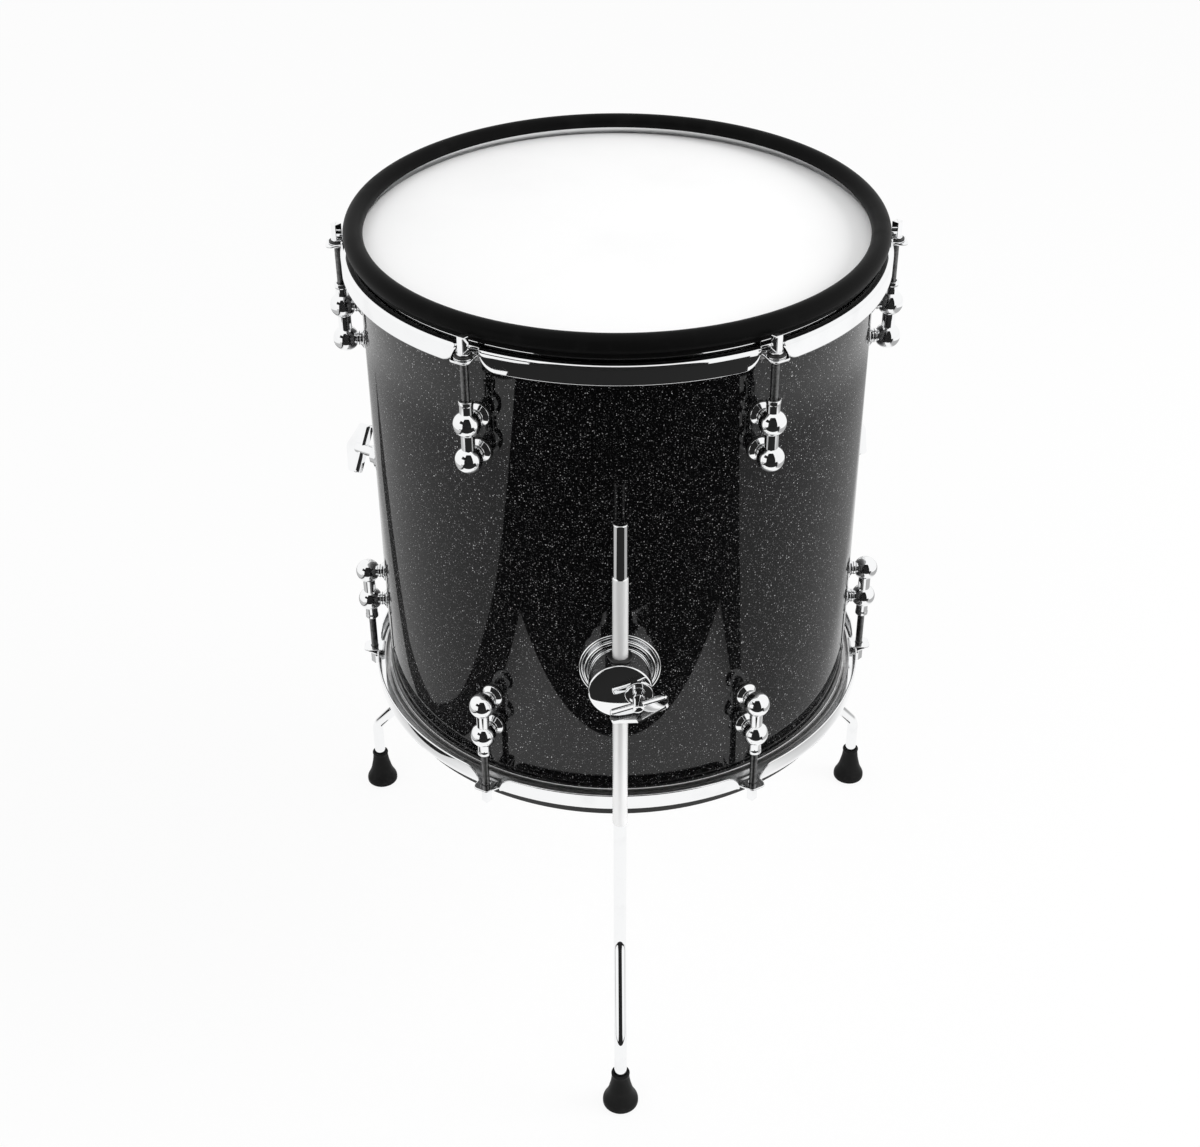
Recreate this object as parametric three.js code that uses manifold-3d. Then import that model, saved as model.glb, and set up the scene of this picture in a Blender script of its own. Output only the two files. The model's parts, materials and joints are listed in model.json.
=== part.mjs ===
// Floor tom, nominally 14 by 14 inches, on three knurled legs.
// Millimetres, +Z up. The origin lies on the floor, under the middle of the whole footprint.
import * as THREE from 'three';
import { mergeVertices } from 'three/addons/utils/BufferGeometryUtils.js';
import { ParametricGeometry } from 'three/addons/geometries/ParametricGeometry.js';
import Module from 'manifold-3d';

const wasm = await Module();
wasm.setup();

// Fits
const gap = 0.3;
const cutOverrun = 2;

// Facets round the drum and round its small parts
const drumSides = 48;
const rodSides = 8;
const lugSides = 8;
const ballRows = 5;
const legSides = 12;
const bracketSides = 24;

// Stance: height of the middle of the shell over the floor
const middleHeight = 423.5;

// Shell and wrap
const shellRadius = 177.5;
const shellWall = 6.2;
const shellHeight = 365;
const bearingEdgeSlope = 4.2;
const bearingEdgeRound = 2;
const wrapThickness = 0.7;
const wrapSetback = 4;

// Vent at the back of the shell
const ventRadius = 5;
const grommetWall = 1.2;
const grommetFlangeRadius = 9.5;
const grommetFlange = 1.6;

// Heads
const filmThickness = 0.5;
const filmCollar = 3;
const fleshHoopDepth = 4.8;
const fleshHoopWidth = 4.6;
const fleshHoopHeight = 9;

// Tension rods, and how far they stand off the wrap
const rodCount = 6;
const rodStandOff = 14.7;
const rodRadius = 2.75;
const rodClearance = 0.45;
const rodEngagement = 32;
const rodFlangeRadius = 5.5;
const rodFlange = 1.3;
const rodHeadWidth = 5.4;
const rodHeadHeight = 13.8;

// Pressed hoops
const hoopThickness = 1.6;
const hoopLipHeight = 12;
const hoopWallClearance = 0.5;
const skirtClearance = 4.2;
const skirtDepth = 12.2;
const earDrop = 5;
const earReach = 7.3;
const earHalfWidth = 8.4;
const earBlend = 12;
const riserClearance = 0.8;
const skirtSteps = 6;

// Rubber rim cover
const rimBulbRadius = 6.8;
const rimSlotClearance = 0.55;
const rimInnerDrop = 1.5;
const rimSteps = 9;

// Lugs, set in from the edge of the shell
const lugBallRadius = 7.9;
const lugInset = 55;
const lugBallSpacing = 26.3;
const lugTubeRadius = 4.3;
const lugTubeOverBall = 17;
const lugNeckRadius = 3.9;
const lugFootRadius = 8;
const lugFootHeight = 4.5;

// Leg brackets
const bracketDrop = 53.5;
const bracketRimRadius = 28;
const bracketRimDepth = 8.2;
const bracketStepRadius = 25;
const bracketStepDepth = 3.2;
const bracketBodyRadius = 21.6;
const bracketBackWall = 5.05;
const bracketFaceWall = 3;
const bracketFaceDome = 1;
const bracketEdgeRound = 1.5;
const backingWidth = 44;
const backingThickness = 2;

// Legs, with heights over the floor, and how far the crank carries the foot outward
const legCrank = 47.5;
const legTop = 498.4;
const legKnurlTop = 456.7;
const legKnurlBottom = 243.8;
const legKneeTop = 125;
const legKneeBottom = 65.8;
const legRadius = 4.75;
const legKnurlRadius = 5.45;
const legEndRound = 0.8;
const legKneeRadius = 20;
const legKneeSteps = 3;
const legSpliceDepth = 10;

// Rubber feet
const footRadius = 13.5;
const footHeight = 34;
const footCollarRadius = 6.3;
const footSole = 8;
const footWidestHeight = 8;
const footFlatRadius = 10.5;
const footEdgeHeight = 2.6;
const footWaistRadius = 7;
const footWaistHeight = 22;

// Leg bushes
const bushWall = 1.2;
const bushLip = 1.4;
const bushLipRadius = 8.4;

// Wing screws and the jaws that they draw on to the bushes
const screwOffset = 12.3;
const screwRadius = 2.7;
const bossRadius = 9.5;
const bossHeight = 1.6;
const bossWall = 3;
const jawRadius = 7.2;
const jawLength = 13;
const jawTravel = 1.5;
const hubRadius = 5;
const hubToBlade = 10.5;
const bladeTipDepth = 11.5;
const bladeNose = 8;
const bladeHalfLength = 20;
const bladeThickness = 5;
const hubPastBlade = 0.6;
const screwPastJaw = 2;

// What follows from the sizes above
const shellInner = shellRadius - shellWall;
const wrapRadius = shellRadius + gap + wrapThickness;
const filmInnerRadius = wrapRadius + gap;
const filmOuterRadius = filmInnerRadius + filmThickness;
const headTop = shellHeight / 2 + gap + filmThickness;
const hoopSeat = headTop - fleshHoopDepth;
const fleshHoopTop = hoopSeat - gap;
const fleshHoopInner = filmOuterRadius + gap;
const fleshHoopOuter = fleshHoopInner + fleshHoopWidth;
const skirtRadius = fleshHoopOuter + skirtClearance + hoopThickness;
const rodCircleRadius = wrapRadius + rodStandOff;
const hoopWallCentre = filmOuterRadius + hoopWallClearance + hoopThickness / 2;
const hoopFlangeTop = hoopSeat + hoopThickness;
const hoopLip = hoopSeat + hoopLipHeight;
const earTop = hoopFlangeTop - earDrop;
const earRadius = rodCircleRadius + earReach;
const riserCentre = fleshHoopOuter + riserClearance + hoopThickness / 2;
const lugOuterBall = shellHeight / 2 - lugInset;
const rodFoot = lugOuterBall + lugTubeOverBall - rodEngagement;
const bracketHeight = middleHeight - bracketDrop;
const bracketRimFront = wrapRadius + bracketRimDepth;
const bracketStepFront = bracketRimFront + bracketStepDepth;
const bushInnerRadius = legKnurlRadius + gap;
const bushRadius = bushInnerRadius + bushWall;
const legBoreRadius = bushRadius + gap;
const legCircleRadius = bracketStepFront + gap + bracketBackWall + legBoreRadius;
const footCircleRadius = legCircleRadius + legCrank;
const bracketFace = legCircleRadius + legBoreRadius + bracketFaceWall;
const bossFront = bracketFace + bossHeight;
const jawFront = bossFront - bossWall - gap;
const jawBack = jawFront - jawLength;
const screwBoreRadius = screwRadius + gap;
const bladeBack = bossFront + hubToBlade;

// Where the legs and rods stand round the drum, in degrees from +X
const legPlaces = { front: -90, right: 30, left: 150 };
const wingTurns = { front: 20, right: 48, left: -58 };
const rodAngles = Array.from({ length: rodCount }, (_, i) => (i * 360) / rodCount);

const radians = THREE.MathUtils.degToRad;
const blend = THREE.MathUtils.lerp;

// Materials

const finish = (name, color, roughness, metalness) =>
  new THREE.MeshStandardMaterial({ name, color, roughness, metalness });
const finishes = {
  chrome: () => finish('chrome', 0xe4e5e7, 0.06, 1),
  wood: () => finish('wood', 0xb98a58, 0.6, 0),
  wrap: () => finish('sparkle_wrap', 0x141416, 0.12, 0.2),
  film: () => finish('drumhead_film', 0xf4f4f2, 0.5, 0),
  aluminium: () => finish('aluminium', 0xb9bbbe, 0.35, 1),
  rubber: () => finish('rubber', 0x18181a, 0.6, 0),
  nylon: () => finish('nylon', 0x26262a, 0.45, 0),
  steel: () => finish('zinc_steel', 0xa9abae, 0.4, 1),
};

// Geometry helpers

// Keeps positions only, joins shared corners and drops triangles that have no area.
function welded(geometry) {
  const bare = geometry.clone();
  bare.deleteAttribute('normal');
  bare.deleteAttribute('uv');
  const merged = mergeVertices(bare);
  const corners = merged.index.array;
  const kept = [];
  for (let i = 0; i < corners.length; i += 3) {
    const [a, b, c] = [corners[i], corners[i + 1], corners[i + 2]];
    if (a !== b && b !== c && c !== a) kept.push(a, b, c);
  }
  merged.setIndex(kept);
  return merged;
}

function solidOf(geometry) {
  const mesh = welded(geometry);
  return new wasm.Manifold(new wasm.Mesh({
    numProp: 3,
    vertProperties: Float32Array.from(mesh.attributes.position.array),
    triVerts: Uint32Array.from(mesh.index.array),
  }));
}

function geometryOf(solid) {
  const { vertProperties, triVerts, numProp } = solid.getMesh();
  const positions = new Float32Array((vertProperties.length / numProp) * 3);
  for (let i = 0; i < positions.length / 3; i += 1) {
    positions.set(vertProperties.subarray(i * numProp, i * numProp + 3), i * 3);
  }
  const geometry = new THREE.BufferGeometry();
  geometry.setAttribute('position', new THREE.BufferAttribute(positions, 3));
  geometry.setIndex(Array.from(triVerts));
  return geometry;
}

// Turns a profile of [radius, height] pairs, walked with the material on its left, about Z.
function turned(profile, sides) {
  const points = profile.map(([radius, height]) => new THREE.Vector2(radius, height));
  return new THREE.LatheGeometry(points, sides).rotateX(Math.PI / 2);
}

// A turned ring whose profile closes on itself.
const turnedRing = (profile, sides) => turned([...profile, profile[0]], sides);

// A round bar from one height to another.
const bar = (radius, low, high, sides) =>
  turned([[0, low], [radius, low], [radius, high], [0, high]], sides);

// Lays a piece turned about Z along the radial +X axis instead.
const layOutward = (geometry) => geometry.rotateY(Math.PI / 2);

// Shell, wrap and vent

function shellGeometry() {
  const half = shellHeight / 2;
  const crest = shellRadius - bearingEdgeRound;
  const ring = turnedRing([
    [shellInner, -half + bearingEdgeSlope],
    [crest, -half],
    [shellRadius, -half + bearingEdgeRound],
    [shellRadius, half - bearingEdgeRound],
    [crest, half],
    [shellInner, half - bearingEdgeSlope],
  ], drumSides);
  return geometryOf(solidOf(ring).subtract(solidOf(ventCut())));
}

function wrapGeometry() {
  const half = shellHeight / 2 - wrapSetback;
  const inner = shellRadius + gap;
  const ring = turnedRing([[inner, -half], [wrapRadius, -half], [wrapRadius, half], [inner, half]],
    drumSides);
  return geometryOf(solidOf(ring).subtract(solidOf(ventCut())));
}

function ventCut() {
  const bore = ventRadius + grommetWall + gap;
  return layOutward(bar(bore, shellInner - cutOverrun, wrapRadius + cutOverrun, lugSides))
    .rotateZ(Math.PI / 2);
}

// How far out a flat face may stand inside the shell, from its half width.
const insideWall = (halfWidth) =>
  Math.sqrt((shellInner * Math.cos(Math.PI / drumSides)) ** 2 - halfWidth ** 2) - gap;

function grommetGeometry() {
  const insideFace = insideWall(grommetFlangeRadius);
  const inside = insideFace - grommetFlange;
  const outside = wrapRadius + gap;
  const sleeve = ventRadius + grommetWall;
  return layOutward(turnedRing([
    [ventRadius, inside],
    [grommetFlangeRadius, inside],
    [grommetFlangeRadius, insideFace],
    [sleeve, insideFace],
    [sleeve, outside],
    [grommetFlangeRadius, outside],
    [sleeve, outside + grommetFlange],
    [ventRadius, outside + grommetFlange],
  ], lugSides));
}

// Heads: the film with its collar, and the flesh hoop that holds its hem

function filmGeometry() {
  const under = shellHeight / 2 + gap;
  const hem = fleshHoopTop - fleshHoopHeight;
  return turned([
    [0, under],
    [filmInnerRadius - filmCollar, under],
    [filmInnerRadius, under - filmCollar],
    [filmInnerRadius, hem],
    [filmOuterRadius, hem],
    [filmOuterRadius, under - filmCollar + filmThickness / 2],
    [filmInnerRadius - filmCollar + filmThickness / 2, headTop],
    [0, headTop],
  ], drumSides);
}

function fleshHoopGeometry() {
  const low = fleshHoopTop - fleshHoopHeight;
  return turnedRing([
    [fleshHoopInner, low],
    [fleshHoopOuter, low],
    [fleshHoopOuter, fleshHoopTop],
    [fleshHoopInner, fleshHoopTop],
  ], drumSides);
}

// Hoops: a pressed wall, flange and skirt, with the skirt turned out into an ear at each rod

// The middle line of the section, from the lip down; ear runs from 0 on the skirt to 1 on an ear.
function hoopLine(ear) {
  const flange = hoopSeat + hoopThickness / 2;
  const earMiddle = earTop - hoopThickness / 2;
  const skirtMiddle = skirtRadius - hoopThickness / 2;
  const shoulder = blend(skirtMiddle, riserCentre, ear);
  return [
    [hoopWallCentre, hoopLip],
    [hoopWallCentre, flange],
    [shoulder, flange],
    [shoulder, blend(flange - skirtDepth / 2, earMiddle, ear)],
    [blend(skirtMiddle, earRadius, ear), blend(flange - skirtDepth, earMiddle, ear)],
  ];
}

// Gives a line its thickness, and returns the closed outline of the section.
function thickened(line, thickness) {
  const normals = line.slice(1).map(([r, z], i) => {
    const [dr, dz] = [r - line[i][0], z - line[i][1]];
    const length = Math.hypot(dr, dz);
    return [-dz / length, dr / length];
  });
  const offset = (side) => line.map(([r, z], i) => {
    const before = normals[Math.max(i - 1, 0)];
    const after = normals[Math.min(i, normals.length - 1)];
    const sum = [before[0] + after[0], before[1] + after[1]];
    const stretch = 2 / (sum[0] ** 2 + sum[1] ** 2);
    const reach = (side * thickness) / 2;
    return [r + sum[0] * stretch * reach, z + sum[1] * stretch * reach];
  });
  return [...offset(-1), ...offset(1).reverse()];
}

// Stations round one hoop: the angle in degrees, and how much of an ear it is.
function hoopStations() {
  const pitch = 360 / rodCount;
  const degrees = (length) => THREE.MathUtils.radToDeg(length / rodCircleRadius);
  const flat = degrees(earHalfWidth - earBlend / 4);
  const middle = degrees(earHalfWidth + earBlend / 4);
  const clear = degrees(earHalfWidth + (3 * earBlend) / 4);
  const places = [[-flat, 1], [flat, 1], [middle, 0.5]];
  for (let i = 0; i <= skirtSteps; i += 1) {
    places.push([blend(clear, pitch - clear, i / skirtSteps), 0]);
  }
  places.push([pitch - middle, 0.5]);
  return rodAngles.flatMap((angle) => places.map(([offset, ear]) => [angle + offset, ear]));
}

function hoopGeometry() {
  const stations = hoopStations();
  const outlines = stations.map(([, ear]) => thickened(hoopLine(ear), hoopThickness));
  const corners = outlines[0].length;
  const surface = (u, v, target) => {
    const station = Math.round(u * stations.length) % stations.length;
    const [r, z] = outlines[station][Math.round(v * corners) % corners];
    const angle = radians(stations[station][0]);
    target.set(r * Math.cos(angle), r * Math.sin(angle), z);
  };
  let hoop = solidOf(new ParametricGeometry(surface, stations.length, corners));
  const [holeLow, holeHigh] = [earTop - cutOverrun - hoopThickness, earTop + cutOverrun];
  for (const angle of rodAngles) {
    const hole = bar(rodRadius + rodClearance, holeLow, holeHigh, rodSides)
      .translate(rodCircleRadius, 0, 0).rotateZ(radians(angle));
    hoop = hoop.subtract(solidOf(hole));
  }
  return geometryOf(hoop);
}

// The rubber bead that slips over the lip of the batter hoop
function rimCoverGeometry() {
  const slot = hoopThickness / 2 + rimSlotClearance;
  const roof = hoopLip + gap;
  const first = -Math.PI / 2 + Math.asin((slot + rimSlotClearance) / rimBulbRadius);
  const last = Math.PI + Math.asin(rimInnerDrop / rimBulbRadius);
  const bulb = Array.from({ length: rimSteps + 1 }, (_, i) => {
    const angle = blend(first, last, i / rimSteps);
    return [hoopWallCentre + rimBulbRadius * Math.cos(angle), hoopLip + rimBulbRadius * Math.sin(angle)];
  });
  return turnedRing([
    [hoopWallCentre + slot, bulb[0][1]],
    ...bulb,
    [hoopWallCentre - slot, hoopLip - rimInnerDrop],
    [hoopWallCentre - slot, roof],
    [hoopWallCentre + slot, roof],
  ], drumSides);
}

// Lugs: two ball-headed posts with a tube through both balls, standing at +X

function lugGeometry() {
  const innerBall = lugOuterBall - lugBallSpacing;
  const tubeTop = lugOuterBall + lugTubeOverBall;
  const base = wrapRadius + gap;
  const post = (height) => layOutward(turned([
    [0, base],
    [lugFootRadius, base],
    [lugNeckRadius, base + lugFootHeight],
    [lugNeckRadius, rodCircleRadius],
    [0, rodCircleRadius],
  ], lugSides)).translate(0, 0, height);
  const ball = (height) => new THREE.SphereGeometry(lugBallRadius, lugSides, ballRows)
    .rotateX(Math.PI / 2).translate(rodCircleRadius, 0, height);
  const upright = (radius, low, high) => bar(radius, low, high, lugSides).translate(rodCircleRadius, 0, 0);
  let lug = solidOf(upright(lugTubeRadius, innerBall, tubeTop));
  for (const height of [innerBall, lugOuterBall]) {
    lug = lug.add(solidOf(ball(height))).add(solidOf(post(height)));
  }
  const bore = upright(rodRadius + rodClearance, rodFoot - gap, tubeTop + cutOverrun);
  return geometryOf(lug.subtract(solidOf(bore)));
}

// Tension rods, standing on the ear of the hoop at +X

function tensionRodGeometry() {
  const seat = earTop + gap;
  const shoulder = seat + rodFlange;
  const shank = turned([
    [0, rodFoot], [rodRadius, rodFoot], [rodRadius, seat], [rodFlangeRadius, seat],
    [rodFlangeRadius, shoulder], [0, shoulder],
  ], rodSides);
  const head = new THREE.BoxGeometry(rodHeadWidth, rodHeadWidth, rodHeadHeight + rodFlange);
  head.translate(0, 0, seat + (rodHeadHeight + rodFlange) / 2 + gap);
  const rod = solidOf(shank).add(solidOf(head));
  return geometryOf(rod).translate(rodCircleRadius, 0, 0);
}

// Leg brackets, standing at +X with their axis radial and their middle at height zero

function bracketFlangeGeometry() {
  const core = layOutward(turned([
    [0, shellRadius],
    [bracketRimRadius, shellRadius - bracketRimDepth],
    [bracketRimRadius, bracketRimFront - bracketEdgeRound],
    [bracketRimRadius - bracketEdgeRound, bracketRimFront],
    [bracketStepRadius, bracketRimFront],
    [bracketStepRadius, bracketStepFront],
    [0, bracketStepFront],
  ], bracketSides));
  const drum = bar(wrapRadius + gap, -bracketRimRadius - cutOverrun, bracketRimRadius + cutOverrun,
    drumSides);
  return geometryOf(solidOf(core).subtract(solidOf(drum)));
}

const screwBar = (radius, low, high, sides) =>
  layOutward(bar(radius, low, high, sides)).translate(0, screwOffset, 0);

function bracketBodyGeometry() {
  const back = bracketStepFront + gap;
  const barrel = layOutward(turned([
    [0, back],
    [bracketBodyRadius, back],
    [bracketBodyRadius, bracketFace - bracketEdgeRound],
    [bracketBodyRadius - bracketEdgeRound, bracketFace],
    [0, bracketFace + bracketFaceDome],
  ], bracketSides));
  const boss = screwBar(bossRadius, bracketFace - bracketFaceWall, bossFront, bracketSides / 2);
  const legBore = bar(legBoreRadius, -bracketRimRadius, bracketRimRadius, legSides)
    .translate(legCircleRadius, 0, 0);
  const jawBore = screwBar(jawRadius + gap, back - cutOverrun, jawFront + gap, legSides);
  const screwBore = screwBar(screwBoreRadius, jawFront, bossFront + cutOverrun, rodSides);
  return geometryOf(solidOf(barrel).add(solidOf(boss))
    .subtract(solidOf(legBore)).subtract(solidOf(jawBore)).subtract(solidOf(screwBore)));
}

function clampJawGeometry() {
  const screwBore = screwBar(screwBoreRadius, jawBack - cutOverrun, jawFront + cutOverrun, rodSides);
  let jaw = solidOf(screwBar(jawRadius, jawBack, jawFront, legSides)).subtract(solidOf(screwBore));
  for (const travel of [0, jawTravel]) {
    const bush = bar(legBoreRadius, -bracketBodyRadius, bracketBodyRadius, legSides)
      .translate(legCircleRadius + travel, 0, 0);
    jaw = jaw.subtract(solidOf(bush));
  }
  return geometryOf(jaw);
}

// The wing screw is made about +X, then turned about its own axis and moved beside the leg.
function wingScrewGeometry(turn) {
  const hubFront = bladeBack + bladeTipDepth + hubPastBlade;
  const shank = layOutward(turned([
    [0, jawBack - screwPastJaw],
    [screwRadius, jawBack - screwPastJaw],
    [screwRadius, bossFront + gap],
    [hubRadius, bossFront + gap],
    [hubRadius, hubFront],
    [0, hubFront],
  ], lugSides));
  const outline = new THREE.Shape([
    new THREE.Vector2(bladeBack, -bladeHalfLength),
    new THREE.Vector2(bladeBack + bladeTipDepth, -bladeHalfLength),
    new THREE.Vector2(bladeBack + bladeTipDepth + bladeNose, 0),
    new THREE.Vector2(bladeBack + bladeTipDepth, bladeHalfLength),
    new THREE.Vector2(bladeBack, bladeHalfLength),
  ]);
  const blade = new THREE.ExtrudeGeometry(outline, { depth: bladeThickness, bevelEnabled: false })
    .translate(0, 0, -bladeThickness / 2);
  return geometryOf(solidOf(shank).add(solidOf(blade)))
    .rotateX(radians(turn)).translate(0, screwOffset, 0);
}

function bushGeometry() {
  const reach = bracketBodyRadius + gap;
  return turnedRing([
    [bushInnerRadius, -reach - bushLip],
    [bushLipRadius, -reach - bushLip],
    [bushLipRadius, -reach],
    [bushRadius, -reach],
    [bushRadius, reach],
    [bushLipRadius, reach],
    [bushLipRadius, reach + bushLip],
    [bushInnerRadius, reach + bushLip],
  ], legSides).translate(legCircleRadius, 0, 0);
}

function backingPlateGeometry() {
  return new THREE.BoxGeometry(backingThickness, backingWidth, backingWidth)
    .translate(insideWall(backingWidth / 2) - backingThickness / 2, 0, 0);
}

// Legs: a straight knurled rod, cranked outward to its foot, standing at +X over the floor

// The crank in the plane of the leg, as straight runs joined by arcs.
class CrankedRod extends THREE.Curve {
  constructor(corners, bendRadius, bendSteps) {
    super();
    const points = corners.map(([x, z]) => new THREE.Vector3(x, 0, z));
    this.stations = [points[0]];
    for (let i = 1; i < points.length - 1; i += 1) {
      this.addBend(points[i - 1], points[i], points[i + 1], bendRadius, bendSteps);
    }
    this.stations.push(points.at(-1));
  }

  addBend(before, corner, after, radius, steps) {
    const incoming = corner.clone().sub(before).normalize();
    const outgoing = after.clone().sub(corner).normalize();
    const half = incoming.angleTo(outgoing) / 2;
    const start = corner.clone().addScaledVector(incoming, -radius * Math.tan(half));
    const inward = outgoing.clone().sub(incoming).normalize();
    const centre = corner.clone().addScaledVector(inward, radius / Math.cos(half));
    const axis = incoming.clone().cross(outgoing).normalize();
    const spoke = start.clone().sub(centre);
    for (let i = 0; i <= steps; i += 1) {
      this.stations.push(spoke.clone().applyAxisAngle(axis, (2 * half * i) / steps).add(centre));
    }
  }

  get steps() {
    return this.stations.length - 1;
  }

  getPoint(t, target = new THREE.Vector3()) {
    const place = Math.min(Math.max(t, 0), 1) * this.steps;
    const index = Math.min(Math.floor(place), this.steps - 1);
    return target.copy(this.stations[index]).lerp(this.stations[index + 1], place - index);
  }

  getPointAt(u, target) {
    return this.getPoint(u, target);
  }

  getTangentAt(u, target = new THREE.Vector3()) {
    const index = Math.round(u * this.steps);
    const before = this.stations[Math.max(index - 1, 0)];
    const here = this.stations[index];
    const after = this.stations[Math.min(index + 1, this.steps)];
    const incoming = here.clone().sub(before).normalize();
    const outgoing = after.clone().sub(here).normalize();
    return target.copy(incoming).add(outgoing).normalize();
  }
}

function legGeometry() {
  const path = new CrankedRod([
    [legCircleRadius, legKnurlBottom + legSpliceDepth],
    [legCircleRadius, legKneeTop],
    [footCircleRadius, legKneeBottom],
    [footCircleRadius, footSole + gap],
  ], legKneeRadius, legKneeSteps);
  const section = new THREE.Shape().absarc(0, 0, legRadius, 0, 2 * Math.PI);
  const crank = new THREE.ExtrudeGeometry(section, {
    extrudePath: path, steps: path.steps, curveSegments: legSides / 2, bevelEnabled: false,
  });
  const straight = turned([
    [0, legKnurlBottom],
    [legKnurlRadius, legKnurlBottom],
    [legKnurlRadius, legKnurlTop],
    [legRadius, legKnurlTop],
    [legRadius, legTop - legEndRound],
    [legRadius - legEndRound, legTop],
    [0, legTop],
  ], legSides).translate(legCircleRadius, 0, 0);
  return geometryOf(solidOf(straight).add(solidOf(crank)));
}

function footGeometry() {
  const bore = legRadius + gap;
  return turned([
    [0, 0],
    [footFlatRadius, 0],
    [footRadius, footEdgeHeight],
    [footRadius, footWidestHeight],
    [footWaistRadius, footWaistHeight],
    [footCollarRadius, footHeight],
    [bore, footHeight],
    [bore, footSole],
    [0, footSole],
  ], legSides).translate(footCircleRadius, 0, 0);
}

// Assembly

function piece(name, geometry, material) {
  const mesh = new THREE.Mesh(welded(geometry), material);
  mesh.name = name;
  return mesh;
}

// A group turned so that its +X points out of the drum at the given angle.
function turnedTo(angle, ...meshes) {
  const group = new THREE.Group();
  group.rotation.z = radians(angle);
  group.add(...meshes);
  return group;
}

function headAssembly(side) {
  const group = new THREE.Group();
  group.add(
    piece(`${side}_head_film`, filmGeometry(), finishes.film()),
    piece(`${side}_flesh_hoop`, fleshHoopGeometry(), finishes.aluminium()),
    piece(`${side}_hoop`, hoopGeometry(), finishes.chrome()),
  );
  rodAngles.forEach((angle, i) => {
    group.add(turnedTo(angle,
      piece(`${side}_lug_${i + 1}`, lugGeometry(), finishes.chrome()),
      piece(`${side}_tension_rod_${i + 1}`, tensionRodGeometry(), finishes.chrome())));
  });
  return group;
}

function legAssembly(place, angle) {
  const bracket = new THREE.Group();
  bracket.position.z = bracketHeight;
  bracket.add(
    piece(`bracket_flange_${place}`, bracketFlangeGeometry(), finishes.chrome()),
    piece(`bracket_body_${place}`, bracketBodyGeometry(), finishes.chrome()),
    piece(`leg_bush_${place}`, bushGeometry(), finishes.nylon()),
    piece(`clamp_jaw_${place}`, clampJawGeometry(), finishes.steel()),
    piece(`wing_screw_${place}`, wingScrewGeometry(wingTurns[place]), finishes.chrome()),
    piece(`backing_plate_${place}`, backingPlateGeometry(), finishes.steel()),
  );
  return turnedTo(angle, bracket,
    piece(`leg_${place}`, legGeometry(), finishes.chrome()),
    piece(`leg_foot_${place}`, footGeometry(), finishes.rubber()));
}

function drumAssembly() {
  const drum = new THREE.Group();
  drum.position.z = middleHeight;
  const resonant = headAssembly('resonant');
  resonant.rotation.x = Math.PI;
  drum.add(
    piece('shell', shellGeometry(), finishes.wood()),
    piece('shell_wrap', wrapGeometry(), finishes.wrap()),
    turnedTo(90, piece('vent_grommet', grommetGeometry(), finishes.nylon())),
    headAssembly('batter'),
    piece('rim_cover', rimCoverGeometry(), finishes.rubber()),
    resonant,
  );
  return drum;
}

const group = new THREE.Group();
group.position.y = (footCircleRadius + footRadius - skirtRadius) / 2;
group.add(drumAssembly());
for (const [place, angle] of Object.entries(legPlaces)) {
  group.add(legAssembly(place, angle));
}

export default group;
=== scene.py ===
"""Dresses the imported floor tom: fine meshes, procedural finishes, studio and camera."""

import json
import logging
import math
from collections.abc import Sequence
from dataclasses import dataclass, field
from enum import Enum

import bmesh
import bpy
import numpy as np
from mathutils import Matrix, Vector


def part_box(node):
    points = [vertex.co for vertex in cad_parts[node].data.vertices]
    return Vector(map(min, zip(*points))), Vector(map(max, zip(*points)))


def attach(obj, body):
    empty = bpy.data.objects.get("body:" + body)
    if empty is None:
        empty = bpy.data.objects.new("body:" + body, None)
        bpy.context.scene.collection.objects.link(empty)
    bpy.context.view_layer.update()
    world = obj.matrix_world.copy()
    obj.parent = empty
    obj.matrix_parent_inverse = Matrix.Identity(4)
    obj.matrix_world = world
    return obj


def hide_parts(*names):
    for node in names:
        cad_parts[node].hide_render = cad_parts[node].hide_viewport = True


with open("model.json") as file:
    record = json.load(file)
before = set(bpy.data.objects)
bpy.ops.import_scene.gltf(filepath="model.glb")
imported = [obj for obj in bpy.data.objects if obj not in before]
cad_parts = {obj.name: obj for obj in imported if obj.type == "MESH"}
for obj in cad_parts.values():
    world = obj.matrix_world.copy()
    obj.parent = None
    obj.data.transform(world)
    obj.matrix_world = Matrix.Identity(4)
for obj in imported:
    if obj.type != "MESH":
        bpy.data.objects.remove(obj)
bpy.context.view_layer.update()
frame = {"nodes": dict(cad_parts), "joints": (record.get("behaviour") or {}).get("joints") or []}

log = logging.getLogger("floor_tom")

MM = 0.001
TINY = 1e-6
WELD = 1e-4
ROD_COUNT = 6
ROD_PITCH = 360 / ROD_COUNT

Point = tuple[float, float]
Corner = tuple[float, float, float]
Setting = object


# Meshes under construction


def linked(name: str, data: bpy.types.ID) -> bpy.types.Object:
    """Makes an object from its data and links it to the scene.

    Args:
        name: The name to give it.
        data: What the object shows.

    Returns:
        The object.
    """
    made = bpy.data.objects.new(name, data)
    bpy.context.scene.collection.objects.link(made)
    return made


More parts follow.
